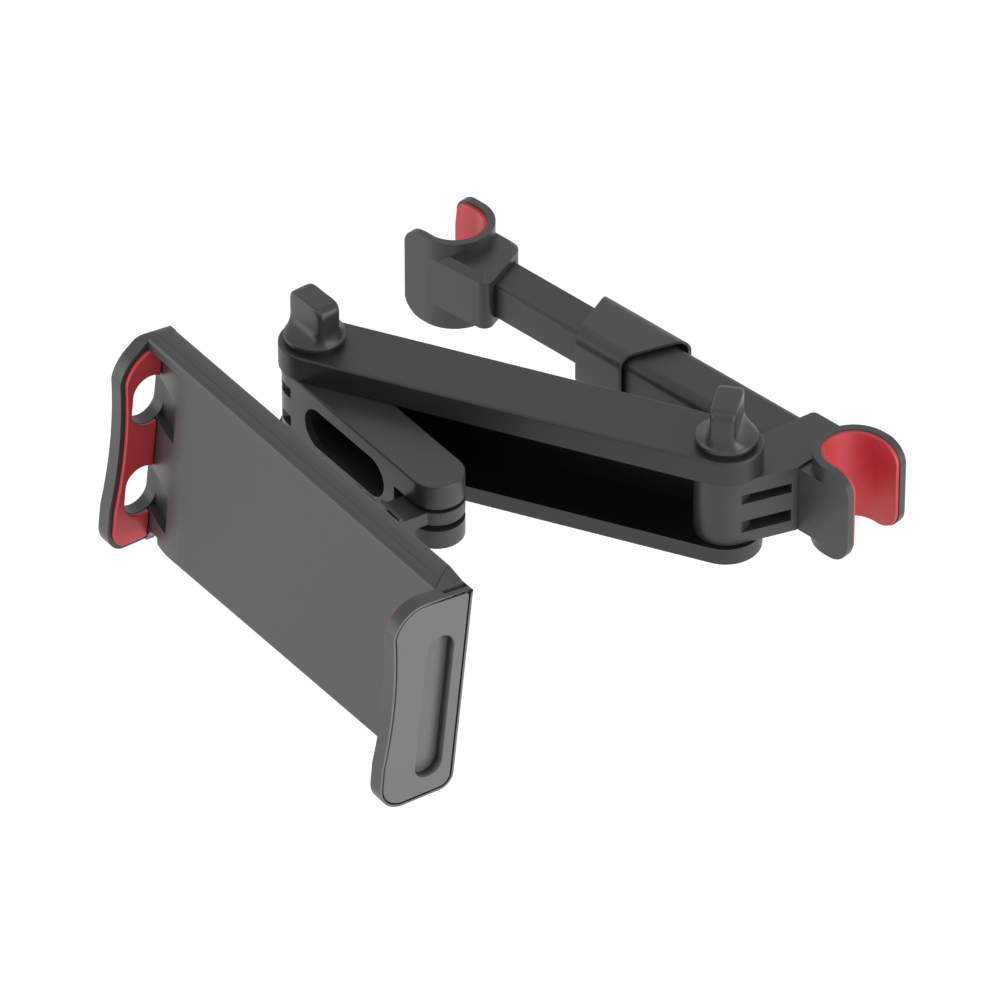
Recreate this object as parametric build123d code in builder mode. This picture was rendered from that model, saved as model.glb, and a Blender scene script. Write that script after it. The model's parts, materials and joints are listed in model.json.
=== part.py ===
from build123d import *

import os
from math import cos, radians, sin, sqrt

os.makedirs("parts", exist_ok=True)

# Frame: millimetres, Z up. The origin is on the right post's axis at the middle of its hook.
# X runs along the bar from the left post to the right one, and -Y is the side the tablet faces.

# Clearances
SEAT_GAP = 0.05  # between pieces that are fixed together
SLIDE_GAP = 0.15  # between faces that slide or turn on each other
SHAFT_GAP = 0.08  # round a turning shaft

# Posts and hooks
POST_SPACING = 135.0
HOOK_RADIUS = 7.25  # inside of the pad
PAD_WALL = 1.5
HOOK_WALL = 1.5
HOOK_TOP = 12.8
HOOK_BOTTOM = -13.3
HOOK_REACH = 7.5  # from the post's axis to the tips
TIP_TOP_ROUND = 3.0
TIP_BOTTOM_ROUND = 6.0
PAD_RIM = 0.2  # how far the pad stands above the shell

# Telescoping bar
BAR_Y = 0.2
BAR_Z = 0.25
TUBE_WIDTH = 14.8
TUBE_HEIGHT = 13.8
TUBE_CORNER = 3.0
TUBE_LEFT = -80.0
TUBE_RIGHT = -14.0
INNER_WIDTH = 11.1
INNER_HEIGHT = 10.1
INNER_CHAMFER = 0.6
INNER_TAIL = -62.0
BAR_TRAVEL = 25.0

# Socket that holds the inner bar on the left hook
SOCKET_NEAR = -114.8
SOCKET_BACK = -120.4
SOCKET_HALF = 9.0
SOCKET_TOP = 9.0
SOCKET_BOTTOM = -6.6
SOCKET_SHOULDER = 1.8
SOCKET_NEAR_ROUND = 2.4
SOCKET_BACK_ROUND = 3.6
SOCKET_FLOOR = 0.6  # left between the bar's end and the hook's shell

# Collar on the tube's left end
COLLAR_WIDTH = 18.4
COLLAR_HEIGHT = 17.4
COLLAR_CORNER = 4.0
COLLAR_LEFT_BACK = -91.0
COLLAR_LEFT_NEAR = -84.8
COLLAR_RIGHT_BACK = -62.8
COLLAR_RIGHT_NEAR = -70.2
COLLAR_MOUTH = -73.0  # where the open mouth begins
COLLAR_MOUTH_GAP = 1.0

# Spring and stop screw in the bar
SPRING_WIRE = 1.0
SPRING_RADIUS = 3.4  # to the middle of the wire
SPRING_TURNS = 10
SPRING_BORE = 4.2
SPRING_BORE_DEPTH = 12.0
STOP_X = -76.0
STOP_RADIUS = 1.1
STOP_HEAD_RADIUS = 2.2
STOP_HEAD_HEIGHT = 1.0
STOP_DEPTH = 2.0  # into the inner bar

# Pivot bracket
PIVOT_X = -22.3
PIVOT_Y = -21.6
BRACKET_BARREL = 7.8
BRACKET_SIDE_ANGLE = 66.0
BRACKET_END = -8.9
BRACKET_BACK = 8.7
BRACKET_BACK_LEFT = -21.3
BRACKET_WAIST = (-24.6, -8.6)
BRACKET_ROUND = 1.5
BRACKET_SLOT_START = 0.8
BRACKET_SLOT_END = 14.0
BRACKET_SLOT_DEPTH = 5.0
BRACKET_SLOT_SCOOP = 3.4
BRACKET_SLOTS = ((-7.1, -3.7), (1.5, 4.2))
NECK_TOP = 8.0

# Main arm
ARM_DIRECTION = 201.6
ARM_LENGTH = 108.0
ARM_WIDTH = 18.3
ARM_TOP = 15.55
ARM_BOTTOM = -15.55
TOP_FLANGE = 6.8
BOTTOM_FLANGE = 4.95
WEB_WALL = 2.6
WEB_CLEARANCE = 1.2
ARM_ROUND = 0.7

# Knobs, bolts and nuts at the two pivots
BOLT_RADIUS = 2.5
BOLT_HEAD_RADIUS = 4.4
BOLT_HEAD_HEIGHT = 2.6
BOLT_END = 0.6  # above the underside
NUT_ACROSS = 8.0
NUT_HEIGHT = 3.6
WASHER_RADIUS = 6.2
WASHER_HEIGHT = 0.8
KNOB_RADIUS = 7.75
KNOB_RIM = 1.6
KNOB_NECK_HEIGHT = 5.6
KNOB_NECK_RADIUS = 3.0
KNOB_SAG = 1.0  # how far the skirt dips below a straight cone
KNOB_HEIGHT = 11.9
WING_LENGTH = 13.0
WING_WIDTH = 5.6
WING_ROUND = 1.8
RIGHT_WING_ANGLE = 122.0
LEFT_WING_ANGLE = -8.0

# Short arm
SHORT_DIRECTION = -10.0
SHORT_REACH = 52.8
SHORT_OFFSET = 1.4  # of the bar towards the tablet
SHORT_WIDTH = 13.9
SHORT_WALL = 2.0
SHORT_ROUND = 0.5
KNUCKLE_BLEND = 3.0  # between the knuckle and the arm's far side
WINDOW_START = 7.2
WINDOW_END = 40.5
WINDOW_LOW = -6.7
WINDOW_HIGH = 4.6
FORK_SLOT_LOW = -4.95
FORK_SLOT_HIGH = 1.8
FORK_SLOT_CLEARANCE = 1.2
KNUCKLE_SLOT_START = -5.0
KNUCKLE_SLOT_END = 1.2
KNUCKLE_SLOT_SCOOP = 2.6
KNUCKLE_SLOTS = ((-7.0, -3.8), (1.6, 4.6))

# Pivot screw at the end of the short arm
END_SCREW_RADIUS = 2.0
END_SCREW_HEAD_RADIUS = 3.6
END_SCREW_HEAD_HEIGHT = 2.2
END_SCREW_TOP = 6.4

# Swivel link with its ball
LINK_DIRECTION = 255.5
LINK_REACH = 23.0
TONGUE_LOW = -3.1
TONGUE_THICKNESS = 3.65
LINK_WIDTH = 9.0
STEM_START = 9.0
STEM_END = 13.4
STEM_HEIGHT = 8.4
BALL_Z = -2.5
BALL_RADIUS = 7.5
BALL_NECK_RADIUS = 3.4

# Ball cup and its ring nut, along the clamp's axis behind the clamp
BALL_DEPTH = 12.0  # ball centre behind the clamp's back
BALL_SIDE = 2.4  # ball centre beside the clamp's middle
CUP_RADIUS = 10.0
CUP_GAP = 0.12
CUP_MOUTH = 3.4  # beyond the ball's centre
CUP_SLITS = 4
CUP_SLIT_WIDTH = 1.2
CUP_BASE = 3.0
RING_RADIUS = 13.0
RING_LENGTH = 9.6
RING_START = 4.4
RING_GRIPS = 16
RING_GRIP_RADIUS = 0.8
TURNTABLE_WALL = 2.0
TURNTABLE_HEIGHT = 1.8

# Tablet clamp, seen along its own axes: along, up and front
CLAMP_DIRECTION = -10.06
CLAMP_TILT = 6.4
CLAMP_LENGTH = 127.4
CLAMP_TRAVEL = 70.0
PLATE_HEIGHT = 53.0
PLATE_THICKNESS = 8.3
PARTING = 5.45  # where the back cover meets the front shell
BACK_ROUND = 3.4
FRONT_ROUND = 1.2
CLAMP_WALL = 2.0
JAW_WALL = 4.0
BLOCK_LENGTH = 5.8  # of the sliding block at the back, below the slanted seam
JAW_DROP = 5.6
JAW_REAR_ROUND = 4.0
JAW_TOP_ROUND = 2.0
JAW_WAIST = 1.4
LEFT_JAW = (15.8, 12.0, 5.0, 0.0)  # depth, round at the top, round at the toe, how far the toe stands back
RIGHT_JAW = (22.7, 9.0, 7.0, 1.0)
JAW_WAIST_SPAN = 38.0
JAW_WAIST_CENTRE = -2.0
JAW_BACK_LEAN = 1.4
HOLE_CENTRES = (-16.9, 9.7)
HOLE_HEIGHT = 14.5
HOLE_LOW = 2.2
HOLE_HIGH = 12.2
SCOOP_LENGTH = 13.0
SCOOP_HEIGHT = 12.0
SCOOP_SAG = 0.6  # how far along the scoop its middle lies
SCOOP_RISE = 0.3  # how high its middle lies
ROOT_BLOCK = 16.0
DIP_LENGTH = 22.5  # of the dip in the plate beside the left jaw
DIP_DEPTH = 4.3
DIP_LEAD = 0.1  # where the dip's arc starts above the plate
DIP_TOP = 24.4
FLARE_LENGTH = 8.5  # of the web that joins the plate to the left jaw's toe
FLARE_DROP = 5.0
FLARE_BEND = 0.36
FLARE_BACK = 1.5

# Tongue, springs and screws in the clamp
TONGUE_HALF = 13.0
TONGUE_LEFT = -39.0
EAR_LEFT = -24.0
EAR_RIGHT = -20.0
EAR_HALF = 19.3
CAVITY_HALF = 24.5
END_WALL = 2.0
PEG_ALONG = -41.5
PEG_UP = 16.5
PEG_RADIUS = 1.2
PULL_WIRE = 0.6
PULL_RADIUS = 1.3
PULL_TURNS = 9
SCREW_ALONG = 43.0
SCREW_UP = 22.0
SCREW_RADIUS = 1.1
SCREW_HEAD_RADIUS = 2.1
SCREW_HEAD_HEIGHT = 1.2
BOSS_RADIUS = 2.1

# Right jaw's cover plate and the pads
COVER_INSET = 0.6
COVER_GAP = 0.35
COVER_THICKNESS = 1.4
COVER_SLOT_WIDTH = 7.8
COVER_SLOT_LENGTH = 40.8
COVER_SLOT_UP = -5.2
COVER_SLOT_FRONT = 7.9
NOTCH_WIDTH = 1.8  # shadow gap in the right jaw's top
NOTCH_DEPTH = 3.0
NOTCH_BACK = 0.8
COVER_SLOT_FLOOR = 1.3
JAW_PAD_WALL = 1.2
JAW_PAD_INSET = 1.2

# Sizes that follow from the ones above
PAD_OUTER = HOOK_RADIUS + PAD_WALL
SHELL_INNER = PAD_OUTER + SEAT_GAP
SHELL_OUTER = SHELL_INNER + HOOK_WALL
GAP_LOW = ARM_BOTTOM + BOTTOM_FLANGE
GAP_HIGH = ARM_TOP - TOP_FLANGE
KNUCKLE_LOW = GAP_LOW + SLIDE_GAP
KNUCKLE_HIGH = GAP_HIGH - SLIDE_GAP
SHAFT_HOLE = BOLT_RADIUS + SHAFT_GAP
SHORT_KNUCKLE = SHORT_OFFSET + SHORT_WIDTH / 2
INNER_LEFT = -POST_SPACING + SHELL_OUTER + SOCKET_FLOOR
SOCKET_SCREW_X = INNER_LEFT + 2 * STOP_HEAD_RADIUS


def heading(angle):
    """Unit vector in the horizontal plane."""
    return Vector(cos(radians(angle)), sin(radians(angle)), 0)


def plan(point, angle, height=0.0):
    """Horizontal plane with its X axis turned to an angle."""
    return Plane(origin=(point.X, point.Y, height), x_dir=heading(angle), z_dir=(0, 0, 1))


def upright(point, angle):
    """Upright plane through a point, X along the angle and Y up."""
    return Plane(origin=(point.X, point.Y, 0), x_dir=heading(angle), z_dir=heading(angle - 90))


RIGHT_PIVOT = Vector(PIVOT_X, PIVOT_Y, 0)
LEFT_PIVOT = RIGHT_PIVOT + heading(ARM_DIRECTION) * ARM_LENGTH
END_PIVOT = LEFT_PIVOT + heading(SHORT_DIRECTION) * SHORT_REACH + heading(SHORT_DIRECTION - 90) * SHORT_OFFSET
BALL_CENTRE = END_PIVOT + heading(LINK_DIRECTION) * LINK_REACH + Vector(0, 0, BALL_Z)

# The clamp's axes: along it towards the sliding jaw, up it, and out of its front
ALONG = heading(CLAMP_DIRECTION)
FRONT = heading(CLAMP_DIRECTION - 90) * cos(radians(CLAMP_TILT)) + Vector(0, 0, sin(radians(CLAMP_TILT)))
UP = FRONT.cross(ALONG)
CLAMP_BACK = BALL_CENTRE + FRONT * BALL_DEPTH - ALONG * BALL_SIDE
HALF_LENGTH = CLAMP_LENGTH / 2
PLATE_LEFT = -HALF_LENGTH + JAW_WALL
JAW_FACE = HALF_LENGTH - JAW_WALL
BLOCK_LEFT = JAW_FACE - BLOCK_LENGTH
PLATE_RIGHT = BLOCK_LEFT - SLIDE_GAP
SHELL_LENGTH = PLATE_RIGHT + BLOCK_LENGTH - PLATE_LEFT
PLATE_HALF = PLATE_HEIGHT / 2
CAVITY_LEFT = PLATE_LEFT + ROOT_BLOCK
CAVITY_FRONT = PLATE_THICKNESS - CLAMP_WALL
TONGUE_BACK = CLAMP_WALL + SLIDE_GAP
TONGUE_FRONT = CAVITY_FRONT - SLIDE_GAP


def across(along):
    """Plane square to the clamp's length, X up the clamp and Y to its front."""
    return Plane(origin=CLAMP_BACK + ALONG * along, x_dir=UP, z_dir=ALONG)


def facing(front):
    """Plane parallel to the clamp's back, X along the clamp and Y up it."""
    return Plane(origin=CLAMP_BACK + FRONT * front, x_dir=ALONG, z_dir=FRONT)


def profile_plane(up):
    """Plane square to the clamp's height, X along the clamp and Y to its front."""
    return Plane(origin=CLAMP_BACK + UP * up, x_dir=ALONG, z_dir=-UP)


def add_seam_wedge(start):
    """Side view of the wedge between the slanted seam and the clamp's back, in the active sketch."""
    with BuildLine() as path:
        Polyline(
            (start, 0),
            (start + BLOCK_LENGTH, PLATE_THICKNESS),
            (start + 2 * BLOCK_LENGTH, PLATE_THICKNESS),
            (start + 2 * BLOCK_LENGTH, 0),
            close=True,
        )
    make_face(path.edges())


def add_dip():
    """Side view of what the dip beside the left jaw takes away, in the active sketch."""
    right = PLATE_LEFT + DIP_LENGTH
    start = PLATE_THICKNESS + DIP_LEAD
    floor = PLATE_THICKNESS - DIP_DEPTH
    with BuildLine() as path:
        # Halfway along, an arc that starts level has dropped by a quarter of its depth
        ThreePointArc((right, start), (right - DIP_LENGTH / 2, start - (start - floor) / 4), (PLATE_LEFT, floor))
        Polyline(
            (PLATE_LEFT, floor),
            (PLATE_LEFT, start + DIP_DEPTH),
            (right, start + DIP_DEPTH),
            (right, start),
        )
    make_face(path.edges())


def band(low, high, half):
    """Rectangle of a clamp section, from low to high towards the front, in the active sketch."""
    with Locations((0, (low + high) / 2)):
        Rectangle(2 * half, high - low)


def add_hook(post, opening, inner, outer, low, high):
    """U round a post, open towards +X or -X, with rounded tips, in the active part."""
    with BuildSketch(Plane(origin=(post, 0, 0), x_dir=(opening, 0, 0), z_dir=(0, -opening, 0))) as side:
        with Locations(((HOOK_REACH - outer) / 2, (low + high) / 2)):
            Rectangle(HOOK_REACH + outer, high - low)
        tips = side.vertices().group_by(Axis.X)[-1].sort_by(Axis.Y)
        fillet(tips[0], radius=TIP_BOTTOM_ROUND)
        fillet(tips[-1], radius=TIP_TOP_ROUND)
    extrude(side.sketch, amount=outer, both=True)
    with BuildSketch(Plane(origin=(post, 0, low), x_dir=(opening, 0, 0), z_dir=(0, 0, 1))) as section:
        Circle(outer)
        with Locations((HOOK_REACH / 2, 0)):
            Rectangle(HOOK_REACH, 2 * outer)
        Circle(inner, mode=Mode.SUBTRACT)
        with Locations((HOOK_REACH / 2, 0)):
            Rectangle(HOOK_REACH, 2 * inner, mode=Mode.SUBTRACT)
    extrude(section.sketch, amount=high - low, mode=Mode.INTERSECT)


def add_jaw_outline(jaw, inset=0.0):
    """Side outline of a jaw, with its waist, in the active sketch on a plane across the clamp."""
    depth, front_round, toe_round, toe_back = jaw
    top = PLATE_HALF - inset
    front = depth - inset
    bottom = inset - PLATE_HALF - JAW_DROP
    toe = front - toe_back
    with BuildLine() as path:
        Polyline((top, inset), (top, front), (bottom, toe), (bottom + JAW_BACK_LEAN, inset), close=True)
    make_face(path.edges())
    corners = (
        (top, front, front_round),
        (bottom, toe, toe_round),
        (bottom + JAW_BACK_LEAN, inset, JAW_REAR_ROUND),
        (top, inset, JAW_TOP_ROUND),
    )
    for up, out, radius in corners:
        fillet(vertices().sort_by_distance((up, out, 0))[0], radius=radius - inset)
    waist_radius = JAW_WAIST_SPAN**2 / (8 * JAW_WAIST) + JAW_WAIST / 2
    with Locations((JAW_WAIST_CENTRE, depth - toe_back / 2 + waist_radius - JAW_WAIST)):
        Circle(waist_radius + inset, mode=Mode.SUBTRACT)


# Outer tube of the bar
with BuildPart() as outer_bar:
    with BuildSketch(Plane.YZ.offset(TUBE_LEFT)):
        with Locations((BAR_Y, BAR_Z)):
            RectangleRounded(TUBE_WIDTH, TUBE_HEIGHT, TUBE_CORNER)
            Rectangle(INNER_WIDTH + 2 * SLIDE_GAP, INNER_HEIGHT + 2 * SLIDE_GAP, mode=Mode.SUBTRACT)
    extrude(amount=TUBE_RIGHT - TUBE_LEFT)
    with BuildSketch(Plane.XY.offset(BAR_Z - TUBE_HEIGHT / 2)):
        with Locations((STOP_X, BAR_Y)):
            Circle(STOP_RADIUS + SEAT_GAP)
    extrude(amount=TUBE_HEIGHT / 2, mode=Mode.SUBTRACT)
outer_bar.part.label = "outer_bar"
export_step(outer_bar.part, "parts/outer_bar.step")

# Collar, slant-ended in plan, closed round the inner bar and open round the tube
with BuildPart() as bar_collar:
    with BuildSketch(Plane.YZ.offset(COLLAR_LEFT_BACK)):
        with Locations((BAR_Y, BAR_Z)):
            RectangleRounded(COLLAR_WIDTH, COLLAR_HEIGHT, COLLAR_CORNER)
            Rectangle(INNER_WIDTH + 2 * SLIDE_GAP, INNER_HEIGHT + 2 * SLIDE_GAP, mode=Mode.SUBTRACT)
    extrude(amount=COLLAR_RIGHT_BACK - COLLAR_LEFT_BACK)
    with BuildSketch(Plane.YZ.offset(TUBE_LEFT)):
        with Locations((BAR_Y, BAR_Z)):
            RectangleRounded(TUBE_WIDTH + 2 * SEAT_GAP, TUBE_HEIGHT + 2 * SEAT_GAP, TUBE_CORNER)
    extrude(amount=COLLAR_RIGHT_BACK - TUBE_LEFT, mode=Mode.SUBTRACT)
    with BuildSketch(Plane.YZ.offset(COLLAR_MOUTH)):
        with Locations((BAR_Y, BAR_Z)):
            RectangleRounded(TUBE_WIDTH + 2 * COLLAR_MOUTH_GAP, TUBE_HEIGHT + 2 * COLLAR_MOUTH_GAP, TUBE_CORNER)
    extrude(amount=COLLAR_RIGHT_BACK - COLLAR_MOUTH, mode=Mode.SUBTRACT)
    with BuildSketch(Plane.XY.offset(BAR_Z)):
        with BuildLine():
            Polyline(
                (COLLAR_LEFT_BACK, BAR_Y + COLLAR_WIDTH / 2),
                (COLLAR_LEFT_NEAR, BAR_Y - COLLAR_WIDTH / 2),
                (COLLAR_RIGHT_NEAR, BAR_Y - COLLAR_WIDTH / 2),
                (COLLAR_RIGHT_BACK, BAR_Y + COLLAR_WIDTH / 2),
                close=True,
            )
        make_face()
    extrude(amount=COLLAR_HEIGHT / 2, both=True, mode=Mode.INTERSECT)
    with BuildSketch(Plane.XY.offset(BAR_Z - COLLAR_HEIGHT / 2)):
        with Locations((STOP_X, BAR_Y)):
            Circle(STOP_HEAD_RADIUS + SEAT_GAP)
    extrude(amount=STOP_HEAD_HEIGHT, mode=Mode.SUBTRACT)
    with BuildSketch(Plane.XY.offset(BAR_Z - COLLAR_HEIGHT / 2)):
        with Locations((STOP_X, BAR_Y)):
            Circle(STOP_RADIUS + SEAT_GAP)
    extrude(amount=COLLAR_HEIGHT / 2, mode=Mode.SUBTRACT)
bar_collar.part.label = "bar_collar"
export_step(bar_collar.part, "parts/bar_collar.step")

# Bracket with the first hinge barrel and two side slots
side_start = RIGHT_PIVOT + heading(BRACKET_SIDE_ANGLE - 90) * BRACKET_BARREL
side_length = (BRACKET_END - side_start.X) / cos(radians(BRACKET_SIDE_ANGLE))
side_end = side_start + heading(BRACKET_SIDE_ANGLE) * side_length
waist_start = RIGHT_PIVOT + heading(BRACKET_SIDE_ANGLE + 90) * BRACKET_BARREL
with BuildPart() as pivot_bracket:
    with BuildSketch(Plane.XY.offset(KNUCKLE_LOW)):
        with BuildLine():
            Polyline(
                (side_start.X, side_start.Y),
                (side_end.X, side_end.Y),
                (BRACKET_END, BRACKET_BACK),
                (BRACKET_BACK_LEFT, BRACKET_BACK),
                BRACKET_WAIST,
                (waist_start.X, waist_start.Y),
                close=True,
            )
        make_face()
        with Locations((PIVOT_X, PIVOT_Y)):
            Circle(BRACKET_BARREL)
        Circle(SHELL_OUTER + SEAT_GAP, mode=Mode.SUBTRACT)
    extrude(amount=KNUCKLE_HIGH - KNUCKLE_LOW)
    back_corner = (BRACKET_BACK_LEFT, BRACKET_BACK, BAR_Z)
    fillet(edges().filter_by(Axis.Z).sort_by_distance(back_corner)[0], radius=BRACKET_ROUND)
    with BuildSketch(Plane.YZ.offset(TUBE_RIGHT)):
        with Locations((BAR_Y, BAR_Z)):
            RectangleRounded(TUBE_WIDTH + 2 * SEAT_GAP, TUBE_HEIGHT + 2 * SEAT_GAP, TUBE_CORNER)
    extrude(amount=-2 * TUBE_WIDTH, mode=Mode.SUBTRACT)
    with BuildSketch(Plane.XY.offset(KNUCKLE_LOW)):
        with Locations((PIVOT_X, PIVOT_Y)):
            Circle(SHAFT_HOLE)
    extrude(amount=KNUCKLE_HIGH - KNUCKLE_LOW, mode=Mode.SUBTRACT)
    for low, high in BRACKET_SLOTS:
        with BuildSketch(plan(side_start, BRACKET_SIDE_ANGLE, low)):
            with BuildLine():
                Polyline(
                    (BRACKET_SLOT_START, -BRACKET_ROUND),
                    (BRACKET_SLOT_END, -BRACKET_ROUND),
                    (BRACKET_SLOT_END, BRACKET_SLOT_DEPTH),
                    (BRACKET_SLOT_START + BRACKET_SLOT_SCOOP, BRACKET_SLOT_DEPTH),
                    (BRACKET_SLOT_START + BRACKET_SLOT_SCOOP, BRACKET_SLOT_DEPTH / 2),
                    (BRACKET_SLOT_START, 0),
                    close=True,
                )
            make_face()
        extrude(amount=high - low, mode=Mode.SUBTRACT)
pivot_bracket.part.label = "pivot_bracket"
export_step(pivot_bracket.part, "parts/pivot_bracket.step")

# Right hook with the neck block that joins it to the bracket
with BuildPart() as right_hook:
    add_hook(0, 1, SHELL_INNER, SHELL_OUTER, HOOK_BOTTOM, HOOK_TOP)
    with BuildSketch(Plane.XY.offset(KNUCKLE_LOW)):
        with BuildLine():
            Polyline(
                (BRACKET_END + SEAT_GAP, -SHELL_OUTER),
                (0, -SHELL_OUTER),
                (0, BRACKET_BACK),
                (BRACKET_END + SEAT_GAP, BRACKET_BACK),
                close=True,
            )
        make_face()
        Circle(SHELL_INNER + HOOK_WALL / 2, mode=Mode.SUBTRACT)
    extrude(amount=NECK_TOP - KNUCKLE_LOW)
right_hook.part.label = "right_hook"
export_step(right_hook.part, "parts/right_hook.step")

# Soft liners of the two hooks
with BuildPart() as right_hook_pad:
    add_hook(0, 1, HOOK_RADIUS, PAD_OUTER, HOOK_BOTTOM - PAD_RIM, HOOK_TOP + PAD_RIM)
right_hook_pad.part.label = "right_hook_pad"
export_step(right_hook_pad.part, "parts/right_hook_pad.step")

with BuildPart() as left_hook_pad:
    add_hook(-POST_SPACING, -1, HOOK_RADIUS, PAD_OUTER, HOOK_BOTTOM - PAD_RIM, HOOK_TOP + PAD_RIM)
left_hook_pad.part.label = "left_hook_pad"
export_step(left_hook_pad.part, "parts/left_hook_pad.step")

# Left hook with the socket for the inner bar
with BuildPart() as left_hook:
    add_hook(-POST_SPACING, -1, SHELL_INNER, SHELL_OUTER, HOOK_BOTTOM, HOOK_TOP)
    with BuildSketch(Plane.XY.offset(SOCKET_BOTTOM)):
        with BuildLine():
            Polyline(
                (-POST_SPACING, -SHELL_OUTER),
                (SOCKET_NEAR, -SOCKET_HALF),
                (SOCKET_BACK, SOCKET_HALF),
                (-POST_SPACING, SOCKET_HALF),
                close=True,
            )
        make_face()
        fillet(vertices().sort_by_distance((SOCKET_NEAR, -SOCKET_HALF, 0))[0], radius=SOCKET_NEAR_ROUND)
        fillet(vertices().sort_by_distance((SOCKET_BACK, SOCKET_HALF, 0))[0], radius=SOCKET_BACK_ROUND)
        with Locations((-POST_SPACING, 0)):
            Circle(SHELL_INNER + HOOK_WALL / 2, mode=Mode.SUBTRACT)
    extrude(amount=SOCKET_TOP - SOCKET_BOTTOM)
    shoulder = ((SOCKET_NEAR + INNER_LEFT) / 2, -SOCKET_HALF, SOCKET_TOP)
    chamfer(edges().sort_by_distance(shoulder)[0], length=SOCKET_SHOULDER)
    with BuildSketch(Plane.YZ.offset(INNER_LEFT)):
        with Locations((BAR_Y, BAR_Z)):
            Rectangle(INNER_WIDTH + 2 * SEAT_GAP, INNER_HEIGHT + 2 * SEAT_GAP)
    extrude(amount=SOCKET_NEAR - INNER_LEFT, mode=Mode.SUBTRACT)
    with BuildSketch(Plane.XY.offset(SOCKET_BOTTOM)):
        with Locations((SOCKET_SCREW_X, BAR_Y)):
            Circle(STOP_HEAD_RADIUS + SEAT_GAP)
    extrude(amount=STOP_HEAD_HEIGHT, mode=Mode.SUBTRACT)
    with BuildSketch(Plane.XY.offset(SOCKET_BOTTOM)):
        with Locations((SOCKET_SCREW_X, BAR_Y)):
            Circle(STOP_RADIUS + SEAT_GAP)
    extrude(amount=SOCKET_TOP, mode=Mode.SUBTRACT)
left_hook.part.label = "left_hook"
export_step(left_hook.part, "parts/left_hook.step")

# Inner bar, bored at its tail for the spring and slotted underneath for the stop screw
with BuildPart() as inner_bar:
    with BuildSketch(Plane.YZ.offset(INNER_LEFT + SEAT_GAP)):
        with Locations((BAR_Y, BAR_Z)):
            bar_section = Rectangle(INNER_WIDTH, INNER_HEIGHT)
            chamfer(bar_section.vertices(), length=INNER_CHAMFER)
    extrude(amount=INNER_TAIL - INNER_LEFT - SEAT_GAP)
    with BuildSketch(Plane.YZ.offset(INNER_TAIL)):
        with Locations((BAR_Y, BAR_Z)):
            Circle(SPRING_BORE)
    extrude(amount=-SPRING_BORE_DEPTH, mode=Mode.SUBTRACT)
    with BuildSketch(Plane.XY.offset(BAR_Z - INNER_HEIGHT / 2)):
        with Locations((STOP_X - BAR_TRAVEL / 2, BAR_Y)):
            SlotCenterToCenter(BAR_TRAVEL, 2 * (STOP_RADIUS + SLIDE_GAP))
    extrude(amount=STOP_DEPTH + SLIDE_GAP, mode=Mode.SUBTRACT)
    with BuildSketch(Plane.XY.offset(BAR_Z - INNER_HEIGHT / 2)):
        with Locations((SOCKET_SCREW_X, BAR_Y)):
            Circle(STOP_RADIUS + SEAT_GAP)
    extrude(amount=INNER_HEIGHT / 2, mode=Mode.SUBTRACT)
inner_bar.part.label = "inner_bar"
export_step(inner_bar.part, "parts/inner_bar.step")

# Screws under the bar: one stops its travel, the other holds it in the left hook
with BuildPart() as bar_stop_screw:
    with BuildSketch(Plane.XY.offset(BAR_Z - COLLAR_HEIGHT / 2)):
        with Locations((STOP_X, BAR_Y)):
            Circle(STOP_HEAD_RADIUS)
    extrude(amount=STOP_HEAD_HEIGHT)
    with BuildSketch(Plane.XY.offset(BAR_Z - COLLAR_HEIGHT / 2 + STOP_HEAD_HEIGHT)):
        with Locations((STOP_X, BAR_Y)):
            Circle(STOP_RADIUS)
    extrude(amount=(COLLAR_HEIGHT - INNER_HEIGHT) / 2 - STOP_HEAD_HEIGHT + STOP_DEPTH)
bar_stop_screw.part.label = "bar_stop_screw"
export_step(bar_stop_screw.part, "parts/bar_stop_screw.step")

with BuildPart() as left_hook_screw:
    with BuildSketch(Plane.XY.offset(SOCKET_BOTTOM)):
        with Locations((SOCKET_SCREW_X, BAR_Y)):
            Circle(STOP_HEAD_RADIUS)
    extrude(amount=STOP_HEAD_HEIGHT)
    with BuildSketch(Plane.XY.offset(SOCKET_BOTTOM + STOP_HEAD_HEIGHT)):
        with Locations((SOCKET_SCREW_X, BAR_Y)):
            Circle(STOP_RADIUS)
    extrude(amount=BAR_Z - SOCKET_BOTTOM - STOP_HEAD_HEIGHT - SLIDE_GAP)
left_hook_screw.part.label = "left_hook_screw"
export_step(left_hook_screw.part, "parts/left_hook_screw.step")

# Compression spring between the inner bar's bore and the bracket
spring_left = INNER_TAIL - SPRING_BORE_DEPTH + SPRING_WIRE / 2 + SLIDE_GAP
spring_length = TUBE_RIGHT - SPRING_WIRE / 2 - SLIDE_GAP - spring_left
with BuildPart() as bar_spring:
    with BuildLine() as coil:
        Helix(
            pitch=spring_length / SPRING_TURNS,
            height=spring_length,
            radius=SPRING_RADIUS,
            center=(spring_left, BAR_Y, BAR_Z),
            direction=(1, 0, 0),
        )
    with BuildSketch(Plane(origin=coil.line @ 0, z_dir=coil.line % 0)):
        RegularPolygon(SPRING_WIRE / 2, 6)
    sweep(path=coil.line, is_frenet=True)
bar_spring.part.label = "bar_spring"
export_step(bar_spring.part, "parts/bar_spring.step")

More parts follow.
